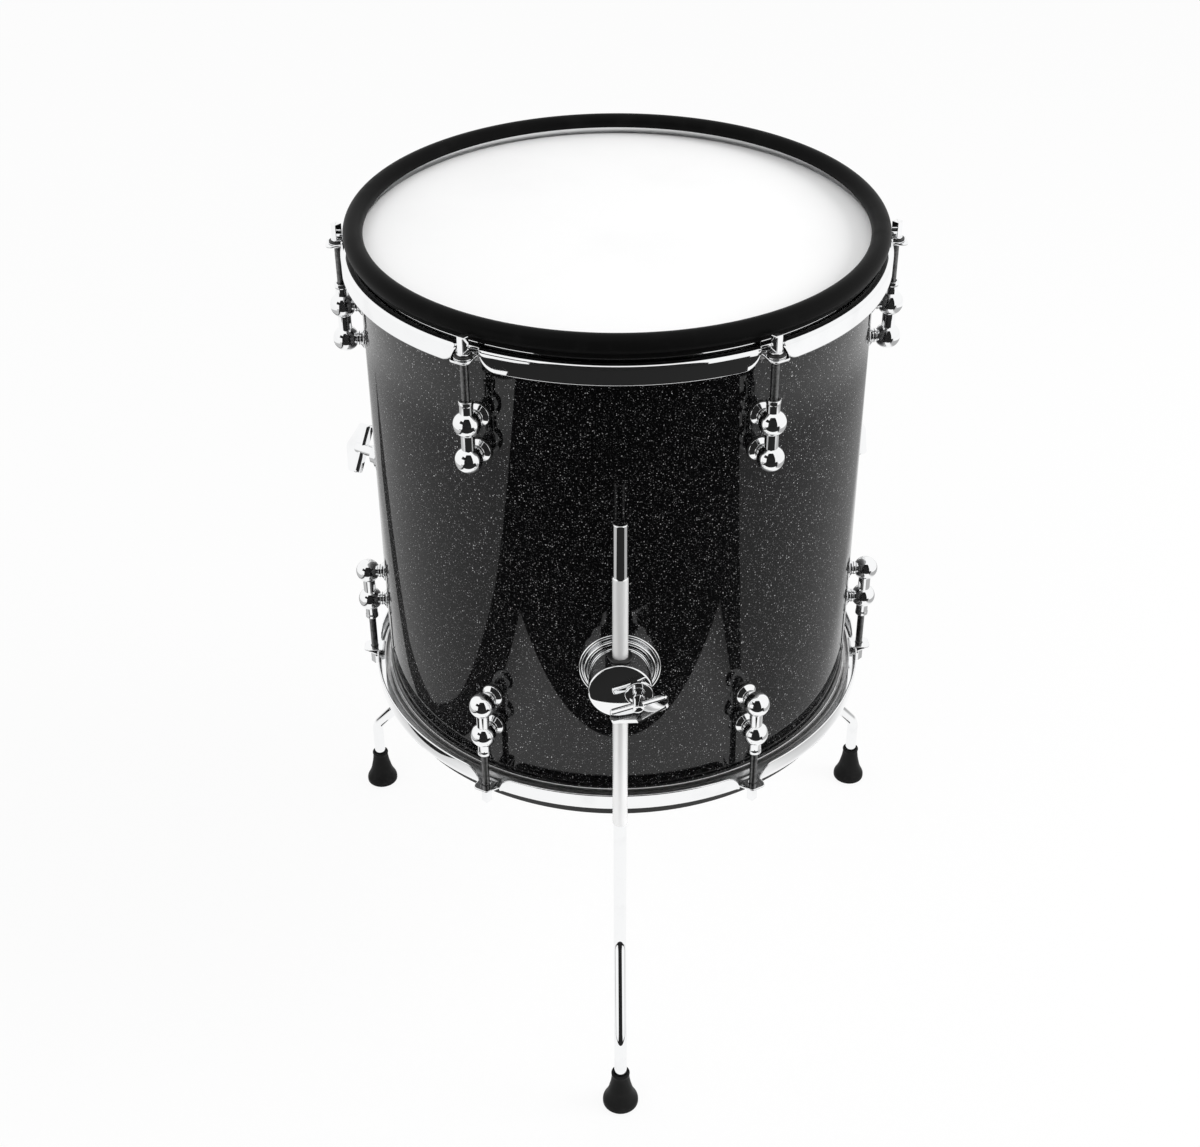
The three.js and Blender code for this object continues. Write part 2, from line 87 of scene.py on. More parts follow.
@dataclass
class Draft:
    """The corners and faces of one closed mesh, in millimetres."""

    points: np.ndarray
    faces: list[tuple[int, ...]]
    paints: list[int] = field(default_factory=list)

    EDGE_STEPS = 4

    def __post_init__(self) -> None:
        """Gives every face the first finish where none is named."""
        if not self.paints:
            self.paints = [0] * len(self.faces)

    @classmethod
    def lofted(cls, rows: np.ndarray, closed: bool) -> "Draft":
        """Skins a stack of rings.

        Args:
            rows: Points as an array of rings, corners and coordinates.
            closed: Whether the last ring joins the first, in place of two end caps.

        Returns:
            The skinned draft.
        """
        rings, corners = rows.shape[:2]
        faces = []
        for i in range(rings if closed else rings - 1):
            near, far = i * corners, (i + 1) % rings * corners
            for k in range(corners):
                n = (k + 1) % corners
                faces.append((near + k, near + n, far + n, far + k))
        if not closed:
            faces.append(tuple(range(corners)))
            faces.append(tuple(range((rings - 1) * corners, rings * corners)))
        return cls(rows.reshape(-1, 3), faces)

    @classmethod
    def turned(cls, profile: Sequence[Point], sides: int) -> "Draft":
        """Turns a profile of radius and height about Z.

        Args:
            profile: An outline that starts and ends on the axis, or else closes on itself.
            sides: Facets round the axis.

        Returns:
            The turned draft.
        """
        turn = np.linspace(0, 2 * math.pi, sides, endpoint=False)
        radius, height = np.array(profile, float).T
        rows = np.stack([
            np.outer(radius, np.cos(turn)),
            np.outer(radius, np.sin(turn)),
            np.repeat(height[:, None], sides, axis=1),
        ], axis=-1)
        return cls.lofted(rows, closed=radius[0] > TINY)

    @classmethod
    def extruded(cls, outline: Sequence[Point], low: float, high: float, edge: float) -> "Draft":
        """Extrudes a convex outline along Z, with a rounded edge at both ends.

        Args:
            outline: Corners in the XY plane.
            low: Height of the bottom.
            high: Height of the top.
            edge: Radius of the rounded edges.

        Returns:
            The extruded draft.
        """
        turns = np.linspace(0, math.pi / 2, cls.EDGE_STEPS + 1)
        rings = [(low + edge * (1 - math.cos(t)), edge * (1 - math.sin(t))) for t in turns]
        rings += [(low + high - z, inset) for z, inset in reversed(rings)]
        rows = [[(x, y, z) for x, y in inset_outline(outline, inset)] for z, inset in rings]
        return cls.lofted(np.array(rows, float), closed=False)

    def placed(self, matrix: Matrix) -> "Draft":
        """Returns a copy that the matrix has moved."""
        m = np.array(matrix, float)
        return Draft(self.points @ m[:3, :3].T + m[:3, 3], list(self.faces), list(self.paints))

    def painted(self, paint: int) -> "Draft":
        """Returns a copy whose faces all take one of the piece's finishes."""
        return Draft(self.points, self.faces, [paint] * len(self.faces))

    def __add__(self, other: "Draft") -> "Draft":
        """Joins both drafts as one, each with its own closed surface.

        Args:
            other: The other draft.

        Returns:
            The draft.
        """
        start = len(self.points)
        moved = [tuple(start + i for i in face) for face in other.faces]
        points = np.vstack([self.points, other.points])
        return Draft(points, self.faces + moved, self.paints + other.paints)

    def mesh(self, name: str) -> bpy.types.Mesh:
        """Makes a welded mesh whose faces point out, in metres.

        Args:
            name: Name of the mesh.

        Returns:
            The mesh.
        """
        mesh = bpy.data.meshes.new(name)
        mesh.from_pydata((self.points * MM).tolist(), [], self.faces)
        mesh.polygons.foreach_set("material_index", self.paints)
        work = bmesh.new()
        work.from_mesh(mesh)
        bmesh.ops.remove_doubles(work, verts=work.verts, dist=WELD * MM)
        bmesh.ops.recalc_face_normals(work, faces=work.faces)
        work.to_mesh(mesh)
        work.free()
        return mesh

    def combined(self, other: "Draft", operation: str) -> "Draft":
        """Joins, cuts or overlaps two closed drafts.

        Args:
            other: The second draft.
            operation: One of the boolean modifier's operations.

        Returns:
            The draft that results.
        """
        pair = [linked("work", draft.mesh("work")) for draft in (self, other)]
        modifier = pair[0].modifiers.new("work", "BOOLEAN")
        modifier.object = pair[1]
        modifier.operation = operation
        modifier.solver = "MANIFOLD"
        result = pair[0].evaluated_get(bpy.context.evaluated_depsgraph_get()).to_mesh()
        points = np.array([v.co for v in result.vertices], float) / MM
        faces = [tuple(p.vertices) for p in result.polygons]
        paints = [p.material_index for p in result.polygons]
        for item in pair:
            mesh = item.data
            bpy.data.objects.remove(item)
            bpy.data.meshes.remove(mesh)
        return Draft(points, faces, paints)

    def joined(self, other: "Draft") -> "Draft":
        """Returns the union of two closed drafts."""
        return self.combined(other, "UNION")

    def cut(self, other: "Draft") -> "Draft":
        """Returns this draft without what the other one fills."""
        return self.combined(other, "DIFFERENCE")


def filleted(corners: Sequence[Corner], closed: bool = False, steps: int = 5) -> list[Point]:
    """Rounds the corners of a line.

    Args:
        corners: Each corner, with the length of its tangents, or zero for a sharp one.
        closed: Whether the line closes on itself.
        steps: Points along each rounded corner, less one.

    Returns:
        The points of the rounded line.
    """
    points: list[Point] = []
    count = len(corners)
    for i, (x, y, tangent) in enumerate(corners):
        here = Vector((x, y))
        if tangent < TINY or (not closed and i in (0, count - 1)):
            points.append((x, y))
            continue
        before = here + (Vector(corners[i - 1][:2]) - here).normalized() * tangent
        after = here + (Vector(corners[(i + 1) % count][:2]) - here).normalized() * tangent
        for k in range(steps + 1):
            t = k / steps
            spot = before * (1 - t) ** 2 + here * 2 * t * (1 - t) + after * t ** 2
            points.append((spot.x, spot.y))
    return points


def arc(centre: Point, radius: float, start: float, end: float, steps: int) -> list[Point]:
    """Returns points along an arc, between two angles in degrees."""
    turns = np.radians(np.linspace(start, end, steps + 1))
    return [(centre[0] + radius * math.cos(t), centre[1] + radius * math.sin(t)) for t in turns]


def bar(radius: float, low: float, high: float, sides: int, edge: float = 0.0) -> Draft:
    """Returns a round bar along Z, with its ends rounded by the edge's tangent length."""
    corners = [(0, low, 0), (radius, low, edge), (radius, high, edge), (0, high, 0)]
    return Draft.turned(filleted(corners), sides)


def inset_outline(outline: Sequence[Point], inset: float) -> list[Point]:
    """Moves every side of a convex outline inward.

    Args:
        outline: Corners, anticlockwise.
        inset: How far each side moves.

    Returns:
        The corners of the smaller outline.
    """
    count = len(outline)
    moved = []
    for i in range(count):
        before, here, after = (Vector(outline[(i + k) % count]) for k in (-1, 0, 1))
        first, second = (here - before).normalized(), (after - here).normalized()
        inward = Vector((-first.y - second.y, first.x + second.x))
        spot = here + inward * (2 * inset / max(inward.length_squared, TINY))
        moved.append((spot.x, spot.y))
    return moved


def smooth(share: float) -> float:
    """Eases a share between 0 and 1."""
    share = min(max(share, 0.0), 1.0)
    return share * share * (3 - 2 * share)


def rounding(share: float) -> float:
    """Falls from 1 to 0 along a quarter circle, as a share goes from 0 to 1."""
    share = min(max(share, 0.0), 1.0)
    return math.sqrt(1 - share * share)


def turn_z(degrees: float) -> Matrix:
    """Returns a turn about Z."""
    return Matrix.Rotation(math.radians(degrees), 4, "Z")


def shift(x: float = 0.0, y: float = 0.0, z: float = 0.0) -> Matrix:
    """Returns a move."""
    return Matrix.Translation((x, y, z))


OUTWARD = Matrix.Rotation(math.pi / 2, 4, "Y")


# Node trees, with shader maths written as Python


class Wire:
    """One output socket of a node, for use in expressions on numbers."""

    def __init__(self, tree: "Tree", node: bpy.types.Node, output: int | str) -> None:
        """Holds the socket and the tree that it belongs to.

        Args:
            tree: The tree to build in.
            node: The node that the socket belongs to.
            output: Which of the node's outputs.
        """
        self.tree = tree
        self.from_node = node
        self.socket = node.outputs[output]

    def output(self, name: int | str) -> "Wire":
        """Returns another output of the same node."""
        return Wire(self.tree, self.from_node, name)

    def _maths(self, operation: str, first: "Wire | float", second: "Wire | float") -> "Wire":
        """Adds one Math node."""
        return self.tree.node("ShaderNodeMath", {"operation": operation}, {0: first, 1: second})

    def __add__(self, other: "Wire | float") -> "Wire":
        """Adds."""
        return self._maths("ADD", self, other)

    __radd__ = __add__

    def __mul__(self, other: "Wire | float") -> "Wire":
        """Multiplies."""
        return self._maths("MULTIPLY", self, other)

    __rmul__ = __mul__

    def __sub__(self, other: "Wire | float") -> "Wire":
        """Subtracts."""
        return self._maths("SUBTRACT", self, other)

    def __rsub__(self, other: float) -> "Wire":
        """Subtracts from a number."""
        return self._maths("SUBTRACT", other, self)

    def __pow__(self, other: float) -> "Wire":
        """Raises to a power."""
        return self._maths("POWER", self, other)

    def __gt__(self, other: "Wire | float") -> "Wire":
        """Gives 1 where this is greater, and 0 elsewhere."""
        return self._maths("GREATER_THAN", self, other)

    def __abs__(self) -> "Wire":
        """Drops the sign."""
        return self._maths("ABSOLUTE", self, 0.0)

    def minimum(self, other: "Wire | float") -> "Wire":
        """Gives the smaller of the two."""
        return self._maths("MINIMUM", self, other)

    def maximum(self, other: "Wire | float") -> "Wire":
        """Gives the greater of the two."""
        return self._maths("MAXIMUM", self, other)

    def step(self, low: float, high: float) -> "Wire":
        """Eases from 0 at one value to 1 at another."""
        sockets = {"Value": self, "From Min": low, "From Max": high}
        return self.tree.node("ShaderNodeMapRange", {"interpolation_type": "SMOOTHSTEP"}, sockets)


class Tree:
    """The node tree of a material or a world."""

    MIX_COLOUR_OUTPUT = 2
    MIX_FIRST, MIX_SECOND = 6, 7

    def __init__(self, owner: bpy.types.Material | bpy.types.World) -> None:
        """Takes the owner's tree and empties it.

        Args:
            owner: The material or world that owns the tree.
        """
        owner.use_nodes = True
        self.nodes = owner.node_tree.nodes
        self.links = owner.node_tree.links
        self.nodes.clear()

    def node(self, kind: str, settings: dict[str, Setting] | None = None,
             sockets: dict[int | str, Setting] | None = None, output: int | str = 0) -> Wire:
        """Adds a node.

        Args:
            kind: The node's type.
            settings: Its properties, which are set first.
            sockets: Values or wires for its inputs.
            output: The output to hand back.

        Returns:
            A wire from that output.
        """
        made = self.nodes.new(kind)
        for name, value in (settings or {}).items():
            setattr(made, name, value)
        for name, value in (sockets or {}).items():
            if isinstance(value, Wire):
                self.links.new(value.socket, made.inputs[name])
            else:
                made.inputs[name].default_value = value
        return Wire(self, made, output) if made.outputs else None

    def mixed(self, first: Setting, second: Setting, factor: "Wire | float") -> Wire:
        """Blends two colours.

        Args:
            first: The colour where the factor is 0.
            second: The colour where it is 1.
            factor: The blend.

        Returns:
            A wire with the blended colour.
        """
        sockets = {0: factor, self.MIX_FIRST: first, self.MIX_SECOND: second}
        return self.node("ShaderNodeMix", {"data_type": "RGBA"}, sockets, self.MIX_COLOUR_OUTPUT)

    def place(self) -> Wire:
        """Returns the object coordinates, in metres."""
        return self.node("ShaderNodeTexCoord", output="Object")

    def bump(self, height: Wire, depth: float, strength: float) -> Wire:
        """Returns a normal that follows a height, whose full depth is in metres."""
        return self.node("ShaderNodeBump", {}, {"Height": height, "Distance": depth, "Strength": strength})

    def surface(self, sockets: dict[str, Setting]) -> None:
        """Ends the tree in a Principled surface."""
        self.end(self.node("ShaderNodeBsdfPrincipled", {}, sockets))

    def end(self, shader: Wire) -> None:
        """Ends the tree in a shader."""
        self.node("ShaderNodeOutputMaterial", {}, {"Surface": shader})


# Finishes


class Slot(Enum):
    """The record's material slots, and three finishes that go with them."""

    WOOD = "shell_wood"
    WRAP = "sparkle_wrap"
    NYLON = "nylon"
    FILM = "drumhead_film"
    ALUMINIUM = "aluminium"
    CHROME = "chrome"
    RUBBER = "rubber"
    ZINC = "zinc_steel"
    THREAD = "oiled_thread"
    KNURL = "knurled_chrome"
    FOOT = "foot_rubber"


Colour = tuple[float, float, float, float]


def grey(value: float) -> Colour:
    """Returns a neutral colour."""
    return (value, value, value, 1.0)


@dataclass(frozen=True)
class Noise:
    """A noise, and the two values between which its mask rises from 0 to 1."""

    scale: float
    detail: float
    low: float = 0.4
    high: float = 0.7

    def height(self, tree: Tree, place: Wire | None = None) -> Wire:
        """Returns the noise, between 0 and 1."""
        sockets = {"Vector": place or tree.place(), "Scale": self.scale, "Detail": self.detail}
        return tree.node("ShaderNodeTexNoise", {}, sockets)

    def mask(self, height: Wire) -> Wire:
        """Returns the mask of a height that this noise gave."""
        return height.step(self.low, self.high)


@dataclass(frozen=True)
class Chrome:
    """Polished chrome plate with faint smudges."""

    clean: float = 0.025
    smudged: float = 0.06
    smudges: Noise = Noise(scale=45.0, detail=4.0, low=0.5, high=0.8)
    bright: Colour = (0.93, 0.935, 0.94, 1.0)
    dull: Colour = (0.87, 0.875, 0.88, 1.0)
    metallic: float = 1.0

    def dress(self, tree: Tree) -> None:
        """Builds the node tree.

        Args:
            tree: The tree to build in.
        """
        smudge = self.smudges.mask(self.smudges.height(tree))
        tree.surface({
            "Base Color": tree.mixed(self.bright, self.dull, smudge),
            "Metallic": self.metallic,
            "Roughness": self.clean + smudge * (self.smudged - self.clean),
        })


@dataclass(frozen=True)
class Flecks:
    """One size of fleck in the wrap, with lengths in metres."""

    pitch: float
    size: float
    shine: float
    rarity: float


@dataclass(frozen=True)
class SparkleWrap:
    """Black wrap with silver flecks under a clear gloss."""

    ground: Colour = (0.0024, 0.0024, 0.0028, 1.0)
    fleck: Colour = (0.8, 0.8, 0.81, 1.0)
    curl_pitch: float = 0.0017
    curl: float = 0.0012
    softness: float = 0.05
    smallest: float = 0.6
    metallic: float = 0.55
    roughness: float = 0.5
    fleck_polish: float = 0.16
    specular: float = 0.03
    coat: float = 0.8
    coat_roughness: float = 0.02
    layers: tuple[Flecks, ...] = (
        Flecks(pitch=0.0015, size=0.3, shine=1.0, rarity=3.0),
        Flecks(pitch=0.00105, size=0.36, shine=0.3, rarity=3.0),
        Flecks(pitch=0.0007, size=0.4, shine=0.03, rarity=2.0),
    )

    def curled(self, tree: Tree) -> Wire:
        """Gives the place, shifted about so that round flecks stretch and curl.

        Args:
            tree: The tree to build in.

        Returns:
            A wire that carries it.
        """
        swirl = tree.node("ShaderNodeTexNoise", {}, {
            "Vector": tree.place(), "Scale": 1 / self.curl_pitch, "Detail": 1.0}, "Color")
        settings = {"operation": "MULTIPLY_ADD"}
        return tree.node("ShaderNodeVectorMath", settings, {0: swirl, 1: (self.curl,) * 3, 2: tree.place()})

    def layer(self, tree: Tree, spot: Wire, flecks: Flecks) -> Wire:
        """Returns how brightly one layer's flecks shine.

        Args:
            tree: The tree that is being built.
            spot: The place to read the layer at.
            flecks: The layer.

        Returns:
            A wire from 0 on the ground to the layer's shine.
        """
        cell = tree.node("ShaderNodeTexVoronoi", {}, {"Vector": spot, "Scale": 1 / flecks.pitch})
        chance = tree.node("ShaderNodeSeparateColor", {}, {0: cell.output("Color")})
        edge = flecks.size * (self.smallest + (1 - self.smallest) * chance.output(2)) - cell
        return edge.step(0.0, self.softness) * chance ** flecks.rarity * flecks.shine

    def dress(self, tree: Tree) -> None:
        """Builds the node tree.

        Args:
            tree: The tree to build in.
        """
        spot = self.curled(tree)
        first, *others = (self.layer(tree, spot, flecks) for flecks in self.layers)
        sparkle = first
        for other in others:
            sparkle = sparkle.maximum(other)
        tree.surface({
            "Base Color": tree.mixed(self.ground, self.fleck, sparkle),
            "Metallic": self.metallic,
            "Roughness": self.roughness - sparkle * self.fleck_polish,
            "Specular IOR Level": self.specular,
            "Coat Weight": self.coat,
            "Coat Roughness": self.coat_roughness,
        })


@dataclass(frozen=True)
class CoatedFilm:
    """White coated drumhead film."""

    light: Colour = grey(0.97)
    shade: Colour = grey(0.95)
    grain: Noise = Noise(scale=2200.0, detail=3.0)
    patches: Noise = Noise(scale=14.0, detail=3.0, low=0.45, high=0.75)
    roughness: float = 0.5
    rougher: float = 0.15
    specular: float = 0.3
    depth: float = 0.00002
    relief: float = 0.4

    def dress(self, tree: Tree) -> None:
        """Builds the node tree.

        Args:
            tree: The tree to build in.
        """
        grain = self.grain.height(tree)
        patches = self.patches.mask(self.patches.height(tree))
        tree.surface({
            "Base Color": tree.mixed(self.light, self.shade, patches),
            "Roughness": self.roughness + self.rougher * grain,
            "Specular IOR Level": self.specular,
            "Normal": tree.bump(grain, self.depth, self.relief),
        })


@dataclass(frozen=True)
class Rubber:
    """Satin black rubber with a faint moulded grain."""

    ground: Colour = grey(0.0045)
    worn: Colour = grey(0.0075)
    grain: Noise = Noise(scale=1500.0, detail=2.0)
    dust: Noise = Noise(scale=60.0, detail=4.0, low=0.5, high=0.8)
    roughness: float = 0.42
    rougher: float = 0.12
    specular: float = 0.04
    depth: float = 0.00003
    relief: float = 0.3

    def dress(self, tree: Tree) -> None:
        """Builds the node tree.

        Args:
            tree: The tree to build in.
        """
        grain = self.grain.height(tree)
        dust = self.dust.mask(self.dust.height(tree))
        tree.surface({
            "Base Color": tree.mixed(self.ground, self.worn, dust),
            "Roughness": self.roughness + self.rougher * dust,
            "Specular IOR Level": self.specular,
            "Normal": tree.bump(grain, self.depth, self.relief),
        })


@dataclass(frozen=True)
class Grained:
    """A material in two close shades that follow its own grain."""

    light: Colour
    shade: Colour
    roughness: float
    grain: Noise
    rougher: float
    depth: float
    relief: float
    metallic: float = 0.0
    stretch: Corner = (1.0, 1.0, 1.0)

    def dress(self, tree: Tree) -> None:
        """Builds the node tree.

        Args:
            tree: The tree to build in.
        """
        place = tree.node("ShaderNodeMapping", {}, {"Vector": tree.place(), "Scale": self.stretch})
        grain = self.grain.height(tree, place)
        tree.surface({
            "Base Color": tree.mixed(self.light, self.shade, self.grain.mask(grain)),
            "Metallic": self.metallic,
            "Roughness": self.roughness + self.rougher * grain,
            "Normal": tree.bump(grain, self.depth, self.relief),
        })


@dataclass(frozen=True)
class Nylon(Grained):
    """Black moulded nylon."""

    light: Colour = grey(0.012)
    shade: Colour = grey(0.02)
    roughness: float = 0.4
    grain: Noise = Noise(scale=900.0, detail=2.0)
    rougher: float = 0.1
    depth: float = 0.00002
    relief: float = 0.3


@dataclass(frozen=True)
class Plywood(Grained):
    """Sealed plywood, with its plies lying one inside the other."""

    light: Colour = (0.56, 0.37, 0.2, 1.0)
    shade: Colour = (0.38, 0.22, 0.11, 1.0)
    roughness: float = 0.45
    grain: Noise = Noise(scale=24.0, detail=5.0, low=0.35)
    rougher: float = 0.15
    depth: float = 0.0001
    relief: float = 0.3
    stretch: Corner = (1.0, 1.0, 14.0)


@dataclass(frozen=True)
class BareMetal(Grained):
    """Plain plated or rolled metal."""

    grain: Noise = Noise(scale=400.0, detail=4.0)
    rougher: float = 0.12
    depth: float = 0.00002
    relief: float = 0.2
    metallic: float = 1.0


class Palette:
    """Every material, by slot."""

    FINISHES = {
        Slot.WOOD: Plywood(),
        Slot.WRAP: SparkleWrap(),
        Slot.NYLON: Nylon(),
        Slot.FILM: CoatedFilm(),
        Slot.ALUMINIUM: BareMetal(grey(0.7), grey(0.6), 0.32),
        Slot.CHROME: Chrome(),
        Slot.RUBBER: Rubber(),
        Slot.ZINC: BareMetal((0.62, 0.63, 0.65, 1.0), (0.5, 0.5, 0.53, 1.0), 0.3),
        Slot.FOOT: Rubber(ground=grey(0.013), worn=grey(0.02)),
        # The rods' threaded part is a dark grey metal, much darker than the chrome above it.
        Slot.THREAD: BareMetal(grey(0.2), grey(0.12), 0.3),
        Slot.KNURL: Chrome(clean=0.2, smudged=0.26, bright=grey(0.95), dull=grey(0.9), metallic=0.42),
    }

    def __init__(self) -> None:
        """Builds one material for each slot."""
        self.materials = {slot: self._material(slot) for slot in Slot}

    def _material(self, slot: Slot) -> bpy.types.Material:
        """Builds the material of one slot.

        Args:
            slot: The material slot.

        Returns:
            The material.
        """
        material = bpy.data.materials.new(slot.value)
        self.FINISHES[slot].dress(Tree(material))
        return material

    def __getitem__(self, slot: Slot) -> bpy.types.Material:
        """Returns the material of a slot."""
        return self.materials[slot]


# What the frame says


@dataclass(frozen=True)
class Datum:
    """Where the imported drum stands, in millimetres."""

    axis_y: float
    middle: float
    wrap_radius: float
    rods: float
    legs: float
    bracket: float
    feet: float

    @classmethod
    def read(cls) -> "Datum":
        """Reads the frame's boxes and joints.

        Returns:
            The datum.
        """
        low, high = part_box("shell")
        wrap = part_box("shell_wrap")[1]
        joints = {joint["name"]: joint for joint in frame["joints"]}
        rod = joints["batter_rod_1_turn"]["pos_m"]
        leg = joints["leg_front_swivel"]["pos_m"]
        foot_low, foot_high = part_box("leg_foot_front")
        axis_y = (low.y + high.y) / 2
        return cls(
            axis_y=axis_y / MM,
            middle=(low.z + high.z) / 2 / MM,
            wrap_radius=wrap.x / MM,
            rods=rod[0] / MM,
            legs=(axis_y - leg[1]) / MM,
            bracket=leg[2] / MM,
            feet=(axis_y - (foot_low.y + foot_high.y) / 2) / MM,
        )

    def on_floor(self, angle: float) -> Matrix:
        """Returns the place of a piece that stands at +X, turned round the drum from the floor up."""
        return shift(y=self.axis_y) @ turn_z(angle)

    def at_bracket(self, angle: float) -> Matrix:
        """Returns the place of a piece made about the middle of a leg bracket."""
        return self.on_floor(angle) @ shift(z=self.bracket)


class Side(Enum):
    """The two ends of the drum."""

    BATTER = "batter"
    RESONANT = "resonant"

    def place(self, datum: Datum, angle: float = 0.0) -> Matrix:
        """Returns the place of a piece made for the top end, at an angle from +X."""
        flip = Matrix.Rotation(0.0 if self is Side.BATTER else math.pi, 4, "X")
        return shift(y=datum.axis_y, z=datum.middle) @ flip @ turn_z(angle)


class Leg(Enum):
    """The three legs, with the angle of each round the drum."""

    FRONT = -90.0
    RIGHT = 30.0
    LEFT = 150.0

    @property
    def word(self) -> str:
        """The leg's word in node names."""
        return self.name.lower()


class Bench:
    """Turns drafts into pieces of the scene."""

    def __init__(self, datum: Datum, palette: Palette) -> None:
        """Keeps the datum and the palette."""
        self.datum = datum
        self.palette = palette

    def piece(self, name: str, draft: Draft, body: str, nodes: Sequence[str], *slots: Slot,
              sharp: float = 35.0) -> None:
        """Makes a piece that rides on a body and stands for CAD nodes.

        Args:
            name: The piece's name.
            draft: Its shape, in place.
            body: The body that it rides on.
            nodes: The nodes that it replaces.
            slots: Its finishes, in the order of the draft's paints.
            sharp: The angle in degrees above which an edge stays sharp.
        """
        mesh = draft.mesh(name)
        mesh.shade_smooth()
        mesh.set_sharp_from_angle(angle=math.radians(sharp))
        for slot in slots:
            mesh.materials.append(self.palette[slot])
        made = linked(name, mesh)
        made.modifiers.new("flat_faces", "WEIGHTED_NORMAL").keep_sharp = True
        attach(made, body)
        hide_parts(*nodes)
        log.info("%s: %d faces on %s", name, len(mesh.polygons), body)

    def refinish(self, node: str, slot: Slot) -> None:
        """Gives a CAD node that stays in view its finish.

        Args:
            node: The node's name.
            slot: The material slot.
        """
        kept = frame["nodes"][node]
        kept.data.materials.clear()
        kept.data.materials.append(self.palette[slot])
        log.info("%s: kept, in %s", node, slot.value)


# The drum


@dataclass
class Shell:
    """The plywood shell, its wrap with an overlapped seam, and the vent grommet."""

    sides: int = 240
    radius: float = 177.5
    wall: float = 6.2
    height: float = 365.0
    bearing_drop: float = 4.2
    crest: float = 2.0
    wrap_inner: float = 177.8
    wrap_height: float = 357.0
    seam_angle: float = 96.0
    seam_width: float = 22.0
    seam_thickness: float = 0.25
    seam_points: int = 9
    vent_sides: int = 48
    vent_bore: float = 5.0
    vent_cut: float = 6.5
    grommet_flange: float = 9.5
    grommet_proud: float = 1.6
    grommet_dome: float = 2.2
    sleeve_gap: float = 0.3
    inner_gap: float = 0.6
    outer_gap: float = 0.3

    def build(self, bench: Bench) -> None:
        """Makes the three pieces.

        Args:
            bench: What turns drafts into pieces.
        """
        place = Side.BATTER.place(bench.datum)
        outer = bench.datum.wrap_radius
        vent = bar(self.vent_cut, 0, outer * 2, self.vent_sides).placed(turn_z(90) @ OUTWARD)
        bench.piece("plywood_shell", self.shell().cut(vent).placed(place), "drum", ["shell"], Slot.WOOD)
        wrap = self.wrap(outer).cut(vent) + self.seam(outer)
        bench.piece("wrap_sheet", wrap.placed(place), "drum", ["shell_wrap"], Slot.WRAP)
        grommet = self.grommet(outer).placed(place @ turn_z(90) @ OUTWARD)
        bench.piece("vent_eyelet", grommet, "drum", ["vent_grommet"], Slot.NYLON)

    def shell(self) -> Draft:
        """Shapes the shell with its bearing edges.

        Returns:
            The draft.
        """
        inner, half = self.radius - self.wall, self.height / 2
        crest = self.radius - self.crest
        return Draft.turned(filleted([
            (inner, -half + self.bearing_drop, 0.3), (crest, -half, 1.0),
            (self.radius, -half + self.crest, 1.0), (self.radius, half - self.crest, 1.0),
            (crest, half, 1.0), (inner, half - self.bearing_drop, 0.3),
        ], closed=True), self.sides)

    def wrap(self, outer: float) -> Draft:
        """Shapes the wrap as a thin tube.

        Args:
            outer: The wrap's outer radius.

        Returns:
            The draft.
        """
        half = self.wrap_height / 2
        return Draft.turned(filleted([
            (self.wrap_inner, -half, 0), (outer, -half, 0.2), (outer, half, 0.2), (self.wrap_inner, half, 0),
        ], closed=True, steps=3), self.sides)

    def seam(self, outer: float) -> Draft:
        """Shapes the lap where the wrap's end covers its start.

        Args:
            outer: The wrap's outer radius.

        Returns:
            The draft.
        """
        half = math.degrees(self.seam_width / outer / 2)
        start, end = self.seam_angle - half, self.seam_angle + half
        low, top = outer - self.seam_thickness, self.wrap_height / 2
        rows = []
        for angle in np.linspace(start, end, self.seam_points):
            high = outer if angle < start + TINY else outer + self.seam_thickness
            turn = math.radians(angle)
            rows.append([(r * math.cos(turn), r * math.sin(turn), z)
                         for r, z in ((low, -top), (high, -top), (high, top), (low, top))])
        return Draft.lofted(np.array(rows), closed=False)

    def grommet(self, outer: float) -> Draft:
        """Shapes the eyelet about Z, with a domed flange at each end.

        Args:
            outer: The wrap's outer radius.

        Returns:
            The draft.
        """
        sleeve, flange = self.vent_cut - self.sleeve_gap, self.grommet_flange
        inside, outside = self.radius - self.wall - self.inner_gap, outer + self.outer_gap
        back, front = inside - self.grommet_proud, outside + self.grommet_proud
        return Draft.turned(filleted([
            (self.vent_bore, back, 0.6), (flange, back, 1.2), (flange, inside, 0), (sleeve, inside, 0),
            (sleeve, outside, 0), (flange, outside, 0.3), (flange - self.grommet_dome, front, 1.0),
            (self.vent_bore, front, 0.7),
        ], closed=True), self.vent_sides)


